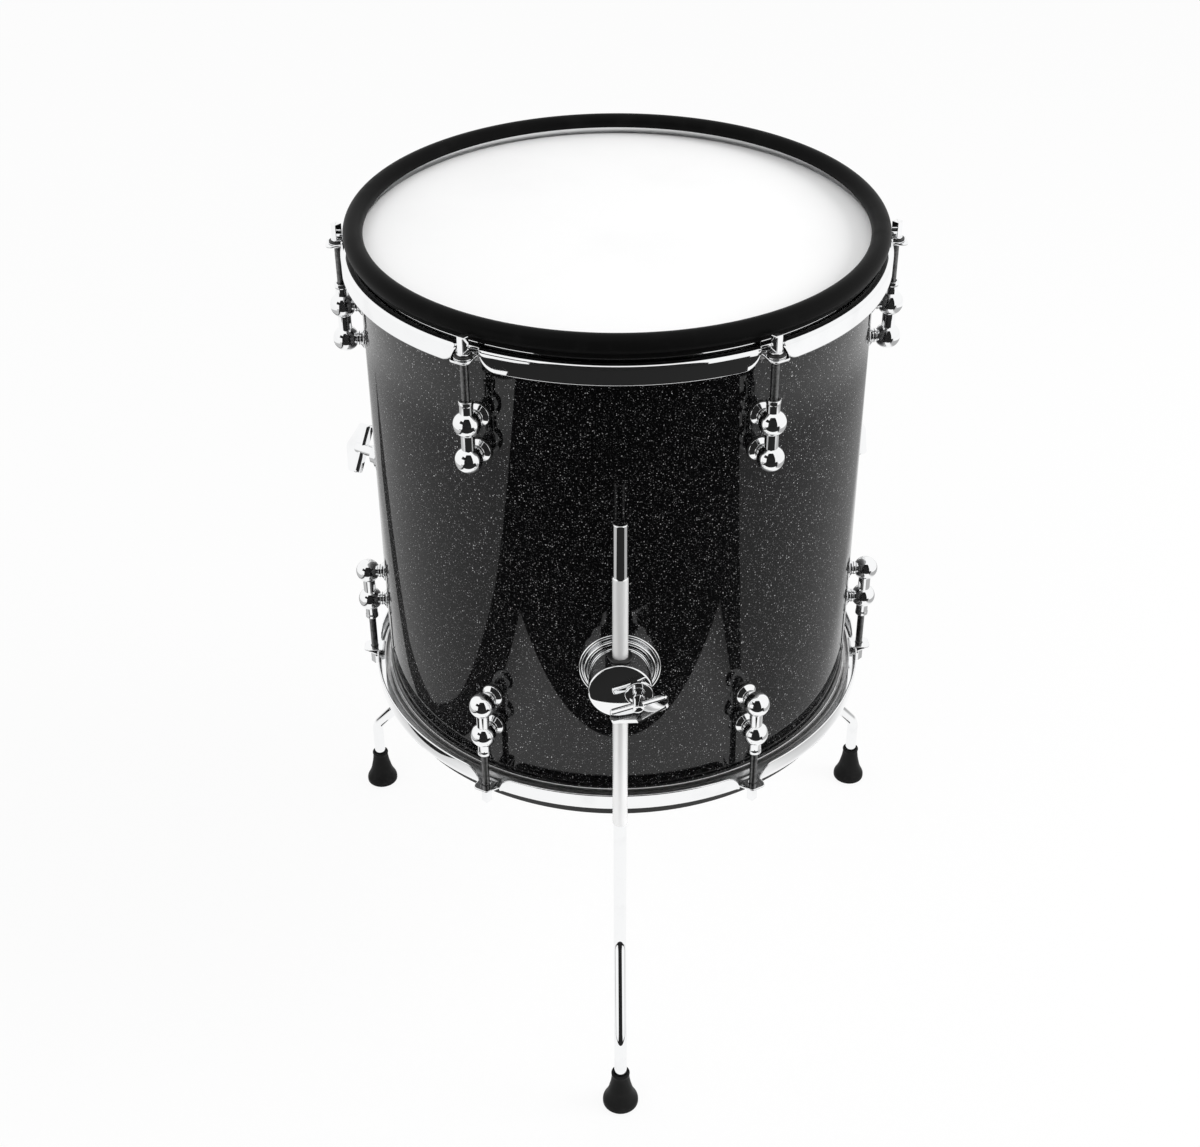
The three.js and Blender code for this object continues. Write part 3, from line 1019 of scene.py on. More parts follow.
@dataclass
class Head:
    """A drumhead's film with its collar, and the flesh hoop that holds its hem."""

    sides: int = 240
    under: float = 182.8
    thickness: float = 0.5
    inner: float = 178.8
    collar: float = 3.0
    hem: float = 169.2
    hoop_inner: float = 179.6
    hoop_outer: float = 184.2
    hoop_top: float = 178.2
    channel_wall: float = 1.0
    channel_edge: float = 0.8

    def build(self, bench: Bench, side: Side) -> None:
        """Makes the film and the flesh hoop of one side.

        Args:
            bench: What turns drafts into pieces.
            side: The end of the drum.
        """
        place = side.place(bench.datum)
        word = side.value
        bench.piece(f"{word}_film", self.film().placed(place), word, [f"{word}_head_film"], Slot.FILM)
        bench.piece(f"{word}_flesh_channel", self.channel().placed(place), word, [f"{word}_flesh_hoop"],
                    Slot.ALUMINIUM)

    def film(self) -> Draft:
        """Shapes the film, turned from the crown down to the hem.

        Returns:
            The draft.
        """
        outer, top = self.inner + self.thickness, self.under + self.thickness
        return Draft.turned(filleted([
            (0, self.under, 0), (self.inner, self.under, self.collar), (self.inner, self.hem, 0),
            (outer, self.hem, 0), (outer, top, self.collar + self.thickness / 2), (0, top, 0),
        ], steps=8), self.sides)

    def channel(self) -> Draft:
        """Shapes the flesh hoop, a channel that opens downward round the film's hem.

        Returns:
            The draft.
        """
        inner, outer, wall = self.hoop_inner, self.hoop_outer, self.channel_wall
        low, ceiling, top = self.hem, self.hoop_top - wall, self.hoop_top
        return Draft.turned(filleted([
            (inner, low, 0), (inner + wall, low, 0), (inner + wall, ceiling, 0), (outer - wall, ceiling, 0),
            (outer - wall, low, 0), (outer, low, 0), (outer, top, self.channel_edge),
            (inner, top, self.channel_edge),
        ], closed=True), self.sides)


@dataclass
class Hoop:
    """A pressed metal hoop, with its skirt turned out into an ear at each rod, and a black band of painted
    shade along its lip, standing in for the shaded floor under the drum seen mirrored there.
    """

    thickness: float = 1.6
    seat: float = 178.5
    wall_radius: float = 180.6
    lip_rise: float = 12.0
    skirt_radius: float = 190.0
    skirt_depth: float = 12.2
    riser_radius: float = 185.8
    ear_drop: float = 5.0
    ear_reach: float = 7.3
    ear_flat: float = 6.4
    ear_corner: float = 3.0
    ear_edge: float = 9.2
    skirt_full: float = 21.0
    skirt_least: float = 2.5
    bend: float = 2.4
    tight_bend: float = 1.5
    hole: float = 3.2
    hole_depth: float = 15.0
    hole_sides: int = 32
    bend_steps: int = 5
    edge_steps: int = 6
    ear_steps: int = 16
    blend_steps: int = 6
    tip_steps: int = 16
    skirt_steps: int = 30

    def build(self, bench: Bench, side: Side) -> None:
        """Makes the hoop of one side.

        Args:
            bench: What turns drafts into pieces.
            side: The end of the drum.
        """
        word = side.value
        # On the resonant side the lip's outer face and edge take black nylon: painted shade, a dark band where
        # the shaded floor under the drum would show mirrored in the chrome.
        lip_painted_dark = side is Side.RESONANT
        draft = self.pressing(bench.datum.rods, lip_painted_dark).placed(side.place(bench.datum))
        bench.piece(f"{word}_hoop_pressing", draft, word, [f"{word}_hoop"], Slot.CHROME, Slot.NYLON)

    def line(self, away: float, rod_radius: float) -> list[Vector]:
        """Returns the middle line of the section.

        Args:
            away: Distance from the nearest rod, round the hoop.
            rod_radius: Radius of the rods' circle.

        Returns:
            Points from the lip down to the free edge, as radius and height.
        """
        flange = self.seat + self.thickness / 2
        skirt = self.skirt_radius - self.thickness / 2
        ear_middle = flange - self.ear_drop
        depth = max(self.skirt_depth * rounding((self.skirt_full - away) / (self.skirt_full - self.ear_edge)),
                    self.skirt_least)
        corner = rounding((away - self.ear_flat + self.ear_corner) / self.ear_corner)
        reach = rod_radius + self.ear_reach - self.ear_corner * (1 - corner)
        ear = smooth((self.ear_edge - away) / (self.ear_edge - self.ear_flat))
        start = (self.wall_radius, self.seat + self.lip_rise, 0)
        plain = filleted([
            start, (self.wall_radius, flange, self.tight_bend), (skirt, flange, min(self.bend, depth / 3)),
            (skirt, flange - depth / 2, min(self.tight_bend, depth / 8)), (skirt, flange - depth, 0),
        ], steps=self.bend_steps)
        eared = filleted([
            start, (self.wall_radius, flange, self.tight_bend), (self.riser_radius, flange, self.tight_bend),
            (self.riser_radius, ear_middle, self.tight_bend), (reach, ear_middle, 0),
        ], steps=self.bend_steps)
        return [Vector(a).lerp(Vector(b), ear) for a, b in zip(plain, eared)]

    def section(self, line: Sequence[Vector]) -> list[Point]:
        """Gives a middle line its thickness, with a round edge at both ends.

        Args:
            line: Points of the middle line.

        Returns:
            The points, in order.
        """
        half = self.thickness / 2
        runs = [(b - a).normalized() for a, b in zip(line, line[1:])]
        runs = [runs[0], *((a + b).normalized() for a, b in zip(runs, runs[1:])), runs[-1]]
        sides = [Vector((-run.y, run.x)) for run in runs]
        one = [p - s * half for p, s in zip(line, sides)]
        two = [p + s * half for p, s in zip(line, sides)]

        def edge(middle: Vector, side: Vector, run: Vector) -> list[Vector]:
            """Returns the round edge from the second face over the end to the first."""
            turns = [math.pi * k / self.edge_steps for k in range(1, self.edge_steps)]
            return [middle + (side * math.cos(t) + run * math.sin(t)) * half for t in turns]

        end, start = edge(line[-1], -sides[-1], runs[-1]), edge(line[0], sides[0], -runs[0])
        return [(p.x, p.y) for p in (*one, *end, *reversed(two), *start)]

    def stations(self, rod_radius: float) -> list[tuple[float, float]]:
        """Works out the angle in radians of each section, and its distance from the nearest rod.

        Args:
            rod_radius: Radius of the rods' circle.

        Returns:
            The pairs, in order.
        """
        pitch = 2 * math.pi / ROD_COUNT * rod_radius
        stops = [-self.ear_flat, self.ear_flat, self.ear_edge, self.skirt_full, pitch - self.skirt_full,
                 pitch - self.ear_edge, pitch - self.ear_flat]
        steps = [self.ear_steps, self.blend_steps, self.tip_steps, self.skirt_steps, self.tip_steps,
                 self.blend_steps]
        offsets = np.concatenate([np.linspace(a, b, count, endpoint=False)
                                  for a, b, count in zip(stops, stops[1:], steps)])
        return [((i * pitch + offset) / rod_radius, min(abs(offset), pitch - offset))
                for i in range(ROD_COUNT) for offset in offsets]

    def pressing(self, rod_radius: float, lip_painted_dark: bool) -> Draft:
        """Returns the whole hoop for the top side.

        Args:
            rod_radius: Radius of the rods' circle.
            lip_painted_dark: Whether the outer face and the edge of its lip are black, as painted shade for the
                mirrored shaded floor under the drum.

        Returns:
            The hoop with its rod holes.
        """
        rows = []
        for turn, away in self.stations(rod_radius):
            outline = self.section(self.line(away, rod_radius))
            rows.append([(r * math.cos(turn), r * math.sin(turn), z) for r, z in outline])
        hoop = Draft.lofted(np.array(rows), closed=True)
        corners = len(rows[0])
        # On the resonant hoop these last faces of each row, the lip's outer face and its round edge, take the
        # black second finish as painted shade, not as a part of their own.
        painted_shade_band = corners - self.edge_steps - 1
        hoop.paints = [int(lip_painted_dark and i % corners >= painted_shade_band) for i in range(len(hoop.faces))]
        top = self.seat + self.thickness
        hole = bar(self.hole, top - self.hole_depth, top, self.hole_sides)
        for i in range(ROD_COUNT):
            hoop = hoop.cut(hole.placed(turn_z(i * ROD_PITCH) @ shift(x=rod_radius)))
        return hoop


@dataclass
class RimCover:
    """The rubber bead over the lip of the batter hoop."""

    sides: int = 240
    bulb: float = 6.8
    wall_radius: float = 180.6
    lip: float = 190.5
    slot: float = 1.35
    slot_clearance: float = 0.55
    inner_drop: float = 1.5
    gap: float = 0.3
    tail: float = 1.1
    tail_low: float = 181.7
    steps: int = 40

    def build(self, bench: Bench) -> None:
        """Makes the cover."""
        place = Side.BATTER.place(bench.datum)
        bench.piece("rim_rubber", self.bead().placed(place), "batter", ["rim_cover"], Slot.RUBBER)

    def bead(self) -> Draft:
        """Shapes the bead with the slot that grips the lip.

        Returns:
            The draft.
        """
        first = math.degrees(math.asin((self.slot + self.slot_clearance) / self.bulb)) - 90
        last = 180 + math.degrees(math.asin(self.inner_drop / self.bulb))
        bulb = arc((self.wall_radius, self.lip), self.bulb, first, last, self.steps)
        near, far, top = self.wall_radius - self.slot, self.wall_radius + self.slot, self.lip + self.gap
        skin = far + self.tail
        return Draft.turned([
            (far, self.tail_low), (skin, self.tail_low), (skin, bulb[0][1]), *bulb[1:],
            (near, self.lip - self.inner_drop), (near, top), (far, top),
        ], self.sides)


@dataclass
class Lug:
    """A lug: two ball-headed posts with a threaded tube through both balls."""

    sides: int = 48
    ball: float = 9.2
    outer_ball: float = 127.5
    ball_spacing: float = 26.3
    tube: float = 4.6
    tube_over_ball: float = 17.0
    collar: float = 4.9
    collar_depth: float = 2.6
    collar_slope: float = 1.2
    bore: float = 3.2
    bore_depth: float = 32.3
    neck: float = 3.9
    neck_ring: float = 5.0
    neck_ring_width: float = 1.4
    neck_flare: float = 0.6
    ring_rise: float = 0.5
    ring_fall: float = 0.3
    foot: float = 8.0
    foot_rim: float = 1.7
    foot_height: float = 4.5
    gasket: float = 8.4
    gasket_height: float = 0.8
    gasket_sunk: float = 0.3
    gasket_edge: float = 0.3
    arc_steps: int = 14

    def build(self, bench: Bench, side: Side) -> None:
        """Makes the six lugs of one side.

        Args:
            bench: What turns drafts into pieces.
            side: The end of the drum.
        """
        draft = self.casting(bench.datum)
        for i in range(ROD_COUNT):
            place = side.place(bench.datum, i * ROD_PITCH)
            bench.piece(f"{side.value}_lug_casting_{i + 1}", draft.placed(place), "drum",
                        [f"{side.value}_lug_{i + 1}"], Slot.CHROME, Slot.NYLON)

    def casting(self, datum: Datum) -> Draft:
        """Shapes one lug for the top side, at +X.

        Args:
            datum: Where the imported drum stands.

        Returns:
            The draft.
        """
        base = datum.wrap_radius
        pad = bar(self.gasket, base - self.gasket_sunk, base + self.gasket_height, self.sides, self.gasket_edge)
        solid = self.upright().placed(shift(x=datum.rods))
        gaskets = []
        for height in (self.outer_ball - self.ball_spacing, self.outer_ball):
            lay = shift(z=height) @ OUTWARD
            solid = solid.joined(self.post(base, datum.rods).placed(lay))
            gaskets.append(pad.painted(1).placed(lay))
        return solid + gaskets[0] + gaskets[1]

    def upright(self) -> Draft:
        """Shapes both balls, the tube between them and the tube above, about Z.

        Returns:
            The draft.
        """
        low = self.outer_ball - self.ball_spacing
        top = self.outer_ball + self.tube_over_ball
        shoulder = top - self.collar_depth
        meet = math.degrees(math.acos(self.tube / self.ball))
        lower = arc((0, low), self.ball, -90, meet, self.arc_steps)
        upper = arc((0, self.outer_ball), self.ball, -meet, meet, self.arc_steps)
        end = filleted([
            (self.tube, shoulder - self.collar_slope, 0), (self.collar, shoulder, 0.6),
            (self.collar, top, 0.5), (self.bore, top, 0.2), (self.bore, top - self.bore_depth, 0),
        ])
        return Draft.turned([(0, low - self.ball), *lower[1:], *upper, *end, (0, end[-1][1])], self.sides)

    def post(self, base: float, reach: float) -> Draft:
        """Shapes a post about Z: a flared foot, a ringed neck and the part inside the ball.

        Args:
            base: Distance of the drum's surface from its axis.
            reach: Distance of the rods from the drum's axis.

        Returns:
            The draft.
        """
        foot_low, foot_top = base + self.gasket_height, base + self.foot_height
        ring = foot_top + self.ring_rise
        ring_end = ring + self.neck_ring_width
        return Draft.turned(filleted([
            (0, foot_low, 0), (self.foot, foot_low, 0.3), (self.foot, base + self.foot_rim, 0.4),
            (self.neck + self.neck_flare, foot_top, 1.0), (self.neck_ring, ring, 0.3),
            (self.neck_ring, ring_end, 0.5), (self.neck, ring_end + self.ring_fall, 0.3),
            (self.neck, reach, 0), (0, reach, 0),
        ]), self.sides)


@dataclass
class TensionRod:
    """A threaded rod with a square head, a flange and two washers."""

    sides: int = 16
    radius: float = 2.75
    thread_depth: float = 0.35
    thread_pitch: float = 1.058
    rows_per_turn: int = 4
    foot: float = 112.5
    thread_top: float = 172.5
    seat: float = 175.3
    shank_hidden: float = 1.0
    disc_sides: int = 40
    washer: float = 6.4
    washer_thickness: float = 0.6
    pad: float = 5.8
    pad_thickness: float = 1.0
    flange: float = 4.3
    flange_thickness: float = 1.3
    head_width: float = 5.4
    head_edge: float = 0.45
    head_sunk: float = 0.2
    top: float = 189.3
    corner_turn: float = 45.0

    def build(self, bench: Bench, side: Side) -> None:
        """Makes the six rods of one side.

        Args:
            bench: What turns drafts into pieces.
            side: The end of the drum.
        """
        for i in range(ROD_COUNT):
            angle = i * ROD_PITCH
            place = side.place(bench.datum, angle) @ shift(x=bench.datum.rods)
            name = f"{side.value}_tension_rod_{i + 1}"
            rod = self.rod((self.corner_turn - angle) % 90).placed(place)
            bench.piece(f"{side.value}_bolt_{i + 1}", rod, f"{side.value}_rod_{i + 1}", [name],
                        Slot.CHROME, Slot.NYLON, Slot.THREAD)

    def rod(self, head_turn: float) -> Draft:
        """Shapes the rod about Z, with its square head turned by some degrees.

        Args:
            head_turn: Degrees that the head is turned by.

        Returns:
            The draft.
        """
        pad_low = self.seat + self.washer_thickness
        pad_high = pad_low + self.pad_thickness
        flange_high = pad_high + self.flange_thickness
        washer = bar(self.washer, self.seat, pad_low, self.disc_sides, 0.2)
        pad = bar(self.pad, pad_low, pad_high, self.disc_sides, 0.3).painted(1)
        flange = bar(self.flange, pad_high, flange_high, self.disc_sides, 0.5)
        half, edge = self.head_width / 2, self.head_edge
        corners = [(half, -half, edge), (half, half, edge), (-half, half, edge), (-half, -half, edge)]
        square = filleted(corners, closed=True, steps=3)
        head = Draft.extruded(square, flange_high - self.head_sunk, self.top, edge)
        return self.shank().painted(2) + washer + pad + flange + head.placed(turn_z(head_turn))

    def shank(self) -> Draft:
        """Shapes the shank, with a helical thread on its lower part.

        Returns:
            The draft.
        """
        turn = np.linspace(0, 2 * math.pi, self.sides, endpoint=False)
        step = self.thread_pitch / self.rows_per_turn
        heights = np.arange(self.foot, self.thread_top, step)
        phase = (heights[:, None] / self.thread_pitch - turn[None, :] / (2 * math.pi)) % 1
        groove = self.thread_depth * (1 - np.abs(2 * phase - 1))
        root, top = self.radius - self.thread_depth, self.seat + self.shank_hidden
        ends = np.array([[0.0], [root]]) * np.ones(self.sides)
        plain = np.array([[root], [self.radius], [self.radius], [0.0]]) * np.ones(self.sides)
        radii = np.vstack([ends, self.radius - groove, plain])
        levels = np.concatenate([
            [self.foot - step, self.foot - step], heights,
            [self.thread_top, self.thread_top + step, top, top],
        ])
        rows = np.stack([radii * np.cos(turn), radii * np.sin(turn),
                         np.repeat(levels[:, None], self.sides, axis=1)], axis=-1)
        return Draft.lofted(rows, closed=False)


# Legs and their brackets


@dataclass
class Bracket:
    """A leg bracket: the rimmed flange on the shell, the round body, its bush, jaw and backing plate."""

    sides: int = 96
    rim: float = 28.0
    rim_depth: float = 8.2
    rim_land: float = 2.4
    groove_outer: float = 25.6
    groove_inner: float = 24.6
    groove_depth: float = 1.8
    groove_slope: float = 0.3
    step: float = 24.6
    step_depth: float = 3.2
    step_land: float = 0.4
    recess_gap: float = 0.2
    recess_depth: float = 1.2
    drum_gap: float = 0.1
    drum_sides: int = 240
    boss_sides: int = 64
    bore_sides: int = 48
    body: float = 21.6
    body_edge: float = 1.2
    face_wall: float = 3.0
    dome: float = 2.4
    dome_steps: int = 16
    leg_bore: float = 7.25
    boss: float = 9.5
    boss_rim: float = 1.3
    boss_rim_width: float = 1.7
    boss_height: float = 1.6
    boss_wall: float = 3.0
    jaw: float = 7.2
    screw_offset: float = 12.3
    screw_bore: float = 3.0
    gap: float = 0.3
    bush_inner: float = 5.75
    bush_outer: float = 6.95
    bush_lip: float = 8.4
    bush_lip_height: float = 1.4

    def build(self, bench: Bench) -> None:
        """Makes the bracket pieces of all three legs.

        Args:
            bench: What turns drafts into pieces.
        """
        flange, body = self.flange(bench.datum), self.barrel(bench.datum)
        for leg in Leg:
            place = bench.datum.at_bracket(leg.value)
            word = leg.word
            bench.piece(f"bracket_base_{word}", flange.placed(place), "drum", [f"bracket_flange_{word}"],
                        Slot.CHROME)
            bench.piece(f"bracket_barrel_{word}", body.placed(place), "drum", [f"bracket_body_{word}"],
                        Slot.CHROME)
            bench.piece(f"bush_sleeve_{word}", self.bush(bench.datum).placed(place), f"bush_{word}",
                        [f"leg_bush_{word}"], Slot.NYLON)
            bench.refinish(f"clamp_jaw_{word}", Slot.ZINC)
            bench.refinish(f"backing_plate_{word}", Slot.ZINC)

    def flange(self, datum: Datum) -> Draft:
        """Shapes the rimmed flange, hollowed to sit on the drum.

        Args:
            datum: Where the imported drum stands.

        Returns:
            The draft.
        """
        back, front = datum.wrap_radius - self.rim_depth, datum.wrap_radius + self.rim_depth
        step = front + self.step_depth
        land, groove, recess = self.rim_land / 2, front - self.groove_depth, step - self.recess_depth
        dish = Draft.turned(filleted([
            (0, back, 0), (self.rim, back, 0), (self.rim, front, land), (self.groove_outer, front, land),
            (self.groove_outer - self.groove_slope, groove, 0.3), (self.groove_inner, groove, 0.3),
            (self.step, step, 1.3), (self.body + self.step_land, step, 1.1),
            (self.body + self.recess_gap, recess, 0.3), (0, recess, 0),
        ]), self.sides).placed(OUTWARD)
        drum = bar(datum.wrap_radius + self.drum_gap, -2 * self.rim, 2 * self.rim, self.drum_sides)
        return dish.cut(drum)

    def screw_bar(self, radius: float, low: float, high: float) -> Draft:
        """Returns a bar along the wing screw's line."""
        return bar(radius, low, high, self.bore_sides).placed(shift(y=self.screw_offset) @ OUTWARD)

    def barrel(self, datum: Datum) -> Draft:
        """Shapes the round body with its boss and bores.

        Args:
            datum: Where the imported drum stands.

        Returns:
            The draft.
        """
        back = datum.wrap_radius + self.rim_depth + self.step_depth + self.gap
        face = datum.legs + self.leg_bore + self.face_wall
        boss_front = face + self.boss_height
        jaw_front = boss_front - self.boss_wall - self.gap
        barrel = Draft.turned(filleted([
            (0, back, 0), (self.body, back, 0.4), (self.body, face, self.body_edge), *self.cap(face),
        ], steps=6), self.sides).placed(OUTWARD)
        beside = shift(y=self.screw_offset) @ OUTWARD
        boss = bar(self.boss, face - self.face_wall, boss_front + self.boss_rim, self.boss_sides, 0.6)
        seat = bar(self.boss - self.boss_rim_width, boss_front, boss_front + self.face_wall, self.boss_sides)
        barrel = barrel.joined(boss.placed(beside)).cut(seat.placed(beside))
        leg_bore = bar(self.leg_bore, -self.rim, self.rim, self.boss_sides)
        barrel = barrel.cut(leg_bore.placed(shift(x=datum.legs)))
        barrel = barrel.cut(self.screw_bar(self.jaw + self.gap, back - self.face_wall, jaw_front + self.gap))
        return barrel.cut(self.screw_bar(self.screw_bore, jaw_front, boss_front + self.face_wall))

    def cap(self, face: float) -> list[Corner]:
        """Works out the domed face's corners, from near its edge to the middle.

        Args:
            face: Height of the face's edge.

        Returns:
            The corners, in order.
        """
        reach = self.body - 2 * self.body_edge
        radius = (self.body ** 2 + self.dome ** 2) / (2 * self.dome)
        centre = (0, face + self.dome - radius)
        start = math.degrees(math.acos(reach / radius))
        return [(x, z, 0) for x, z in arc(centre, radius, start, 90, self.dome_steps)]

    def bush(self, datum: Datum) -> Draft:
        """Shapes the nylon sleeve that the leg slides in.

        Args:
            datum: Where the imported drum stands.

        Returns:
            The draft.
        """
        reach = self.body + self.gap
        lip = reach + self.bush_lip_height
        return Draft.turned(filleted([
            (self.bush_inner, -lip, 0.3), (self.bush_lip, -lip, 0.5), (self.bush_lip, -reach, 0.2),
            (self.bush_outer, -reach, 0), (self.bush_outer, reach, 0), (self.bush_lip, reach, 0.2),
            (self.bush_lip, lip, 0.5), (self.bush_inner, lip, 0.3),
        ], closed=True, steps=4), self.bore_sides).placed(shift(x=datum.legs))


@dataclass
class WingScrew:
    """A wing screw: a round hub, and a wedge-shaped blade with a bead along its back."""

    sides: int = 64
    bead_sides: int = 40
    hub: float = 4.4
    hub_back: float = 214.65
    hub_front: float = 235.0
    blade_back: float = 224.85
    blade_depth: float = 11.5
    nose: float = 8.0
    half_length: float = 20.0
    corner: float = 2.4
    wedge: float = 1.9
    wedge_start: float = 5.0
    wedge_levels: int = 17
    nose_half: float = 0.8
    bead: float = 3.4
    bead_end: float = 2.2
    shank: float = 2.7
    shank_back: float = 195.0
    screw_offset: float = 12.3

    TURNS = {Leg.FRONT: 20.0, Leg.RIGHT: 48.0, Leg.LEFT: -58.0}

    def build(self, bench: Bench) -> None:
        """Makes the three wing screws.

        Args:
            bench: What turns drafts into pieces.
        """
        draft = self.screw()
        for leg, angle in self.TURNS.items():
            twist = shift(y=self.screw_offset) @ Matrix.Rotation(math.radians(angle), 4, "X")
            bench.piece(f"wing_bolt_{leg.word}", draft.placed(bench.datum.at_bracket(leg.value) @ twist),
                        f"wing_{leg.word}", [f"wing_screw_{leg.word}"], Slot.CHROME)

    def outline(self) -> list[Point]:
        """Works out the blade's outline in the XY plane.

        Returns:
            The points, in order.
        """
        tip, half = self.blade_back + self.blade_depth, self.half_length
        return filleted([(self.blade_back, half, self.corner), (self.blade_back, -half, self.corner),
                         (tip, -half, self.corner), (tip + self.nose, 0, self.corner),
                         (tip, half, self.corner)], closed=True)

    def blade(self) -> Draft:
        """Shapes the blade, lying in the XY plane and tapering to a thin front edge.

        Returns:
            The draft.
        """
        outline = self.outline()
        run = self.blade_depth + self.nose - self.wedge_start
        rows = []
        for z in np.linspace(-self.wedge, self.wedge, self.wedge_levels):
            reach = self.wedge_start + run * (self.wedge - abs(z)) / (self.wedge - self.nose_half)
            rows.append([(min(x, self.blade_back + reach), y, z) for x, y in outline])
        across = Matrix.Rotation(math.pi / 2, 4, "X")
        bead = bar(self.bead, -self.half_length, self.half_length, self.bead_sides, self.bead_end)
        bead = bead.placed(shift(x=self.blade_back + self.bead) @ across)
        return Draft.lofted(np.array(rows), closed=False).joined(bead)

    def screw(self) -> Draft:
        """Shapes the screw about X.

        Returns:
            The draft.
        """
        shank = Draft.turned(filleted([
            (0, self.shank_back, 0), (self.shank, self.shank_back, 0.6), (self.shank, self.hub_back, 0),
            (self.hub, self.hub_back, 0.4), (self.hub, self.hub_front, 2.4), (0, self.hub_front, 0),
        ], steps=8), self.sides).placed(OUTWARD)
        return shank.joined(self.blade())


@dataclass
class LegRod:
    """A leg: a knurled straight rod, cranked outward to its rubber foot."""

    sides: int = 80
    top: float = 498.4
    knurl_top: float = 456.7
    knurl_bottom: float = 243.8
    knee_top: float = 125.0
    knee_bottom: float = 65.8
    knee_radius: float = 20.0
    knee_steps: int = 10
    bottom: float = 8.3
    radius: float = 4.75
    knurl_radius: float = 5.45
    knurl_depth: float = 0.28
    knurl_count: int = 20
    knurl_rise: float = 2.0
    rows_per_diamond: int = 4
    end_round: float = 0.9
    end_steps: int = 5

    def build(self, bench: Bench) -> None:
        """Makes the three legs.

        Args:
            bench: What turns drafts into pieces.
        """
        draft = self.rod(bench.datum)
        for leg in Leg:
            bench.piece(f"leg_rod_{leg.word}", draft.placed(bench.datum.on_floor(leg.value)),
                        f"leg_{leg.word}", [f"leg_{leg.word}"], Slot.CHROME, Slot.KNURL, sharp=25.0)

    def crank(self, datum: Datum) -> list[tuple[Vector, Vector]]:
        """Returns the middle line of the bent part, from the foot up.

        Args:
            datum: Where the leg and its foot stand.

        Returns:
            Pairs of a point and the direction there, as radius and height.
        """
        corners = [Vector(c) for c in ((datum.feet, self.bottom), (datum.feet, self.knee_bottom),
                                       (datum.legs, self.knee_top), (datum.legs, self.knurl_bottom))]
        line = [(corners[0], (corners[1] - corners[0]).normalized())]
        for before, corner, after in zip(corners, corners[1:], corners[2:]):
            into, out = (corner - before).normalized(), (after - corner).normalized()
            half = into.angle(out) / 2
            side = (out - into).normalized()
            centre = corner + side * (self.knee_radius / math.cos(half))
            sign = 1 if into.cross(out) > 0 else -1
            for k in range(self.knee_steps + 1):
                turn = Matrix.Rotation(sign * 2 * half * k / self.knee_steps, 2)
                run = turn @ into
                spoke = Vector((run.y, -run.x)) * sign
                line.append((centre + spoke * self.knee_radius, run))
        line.append((corners[3], (corners[3] - corners[2]).normalized()))
        return line

    def rod(self, datum: Datum) -> Draft:
        """Shapes the whole rod in one skin, from the foot to the top.

        Args:
            datum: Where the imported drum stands.

        Returns:
            The draft.
        """
        turn = np.linspace(0, 2 * math.pi, self.sides, endpoint=False)
        rows = []

        def ring(middle: Vector, run: Vector, radii: np.ndarray) -> None:
            """Adds one ring of points round the line.

            Args:
                middle: The point of the line.
                run: The direction of the line.
                radii: The radius at each side of the ring.
            """
            side = Vector((run.y, -run.x))
            across, along = radii * np.cos(turn), radii * np.sin(turn)
            rows.append(np.stack([middle.x + across * side.x, along, middle.y + across * side.y], axis=-1))

        whole = np.ones(self.sides)
        line = self.crank(datum)
        ring(*line[0], whole * 0)
        for middle, run in line:
            ring(middle, run, whole * self.radius)
        up = Vector((0, 1))
        pitch = self.knurl_rise / self.rows_per_diamond
        heights = np.arange(self.knurl_bottom, self.knurl_top, pitch)
        knurl_start = len(rows)
        for z in heights:
            ring(Vector((datum.legs, z)), up, self.knurl(z, turn))
        knurl_end = len(rows)
        centre = (self.radius - self.end_round, self.top - self.end_round)
        for radius, z in [(self.knurl_radius - self.knurl_depth, self.knurl_top),
                          (self.radius, self.knurl_top + self.end_round),
                          *arc(centre, self.end_round, 0, 90, self.end_steps), (0.0, self.top)]:
            ring(Vector((datum.legs, z)), up, whole * radius)
        draft = Draft.lofted(np.array(rows), closed=False)
        draft.paints = [int(knurl_start <= i // self.sides < knurl_end) for i in range(len(draft.faces))]
        return draft

    def knurl(self, height: float, turn: np.ndarray) -> np.ndarray:
        """Works out the radii of one ring of the diamond knurl.

        Args:
            height: Height of the ring.
            turn: Angles of the ring's points, in radians.

        Returns:
            The radii.
        """
        round_share = self.knurl_count * turn / (2 * math.pi)
        rise_share = height / self.knurl_rise
        first = np.abs(2 * ((round_share + rise_share) % 1) - 1)
        second = np.abs(2 * ((round_share - rise_share) % 1) - 1)
        return self.knurl_radius - self.knurl_depth * np.maximum(first, second)


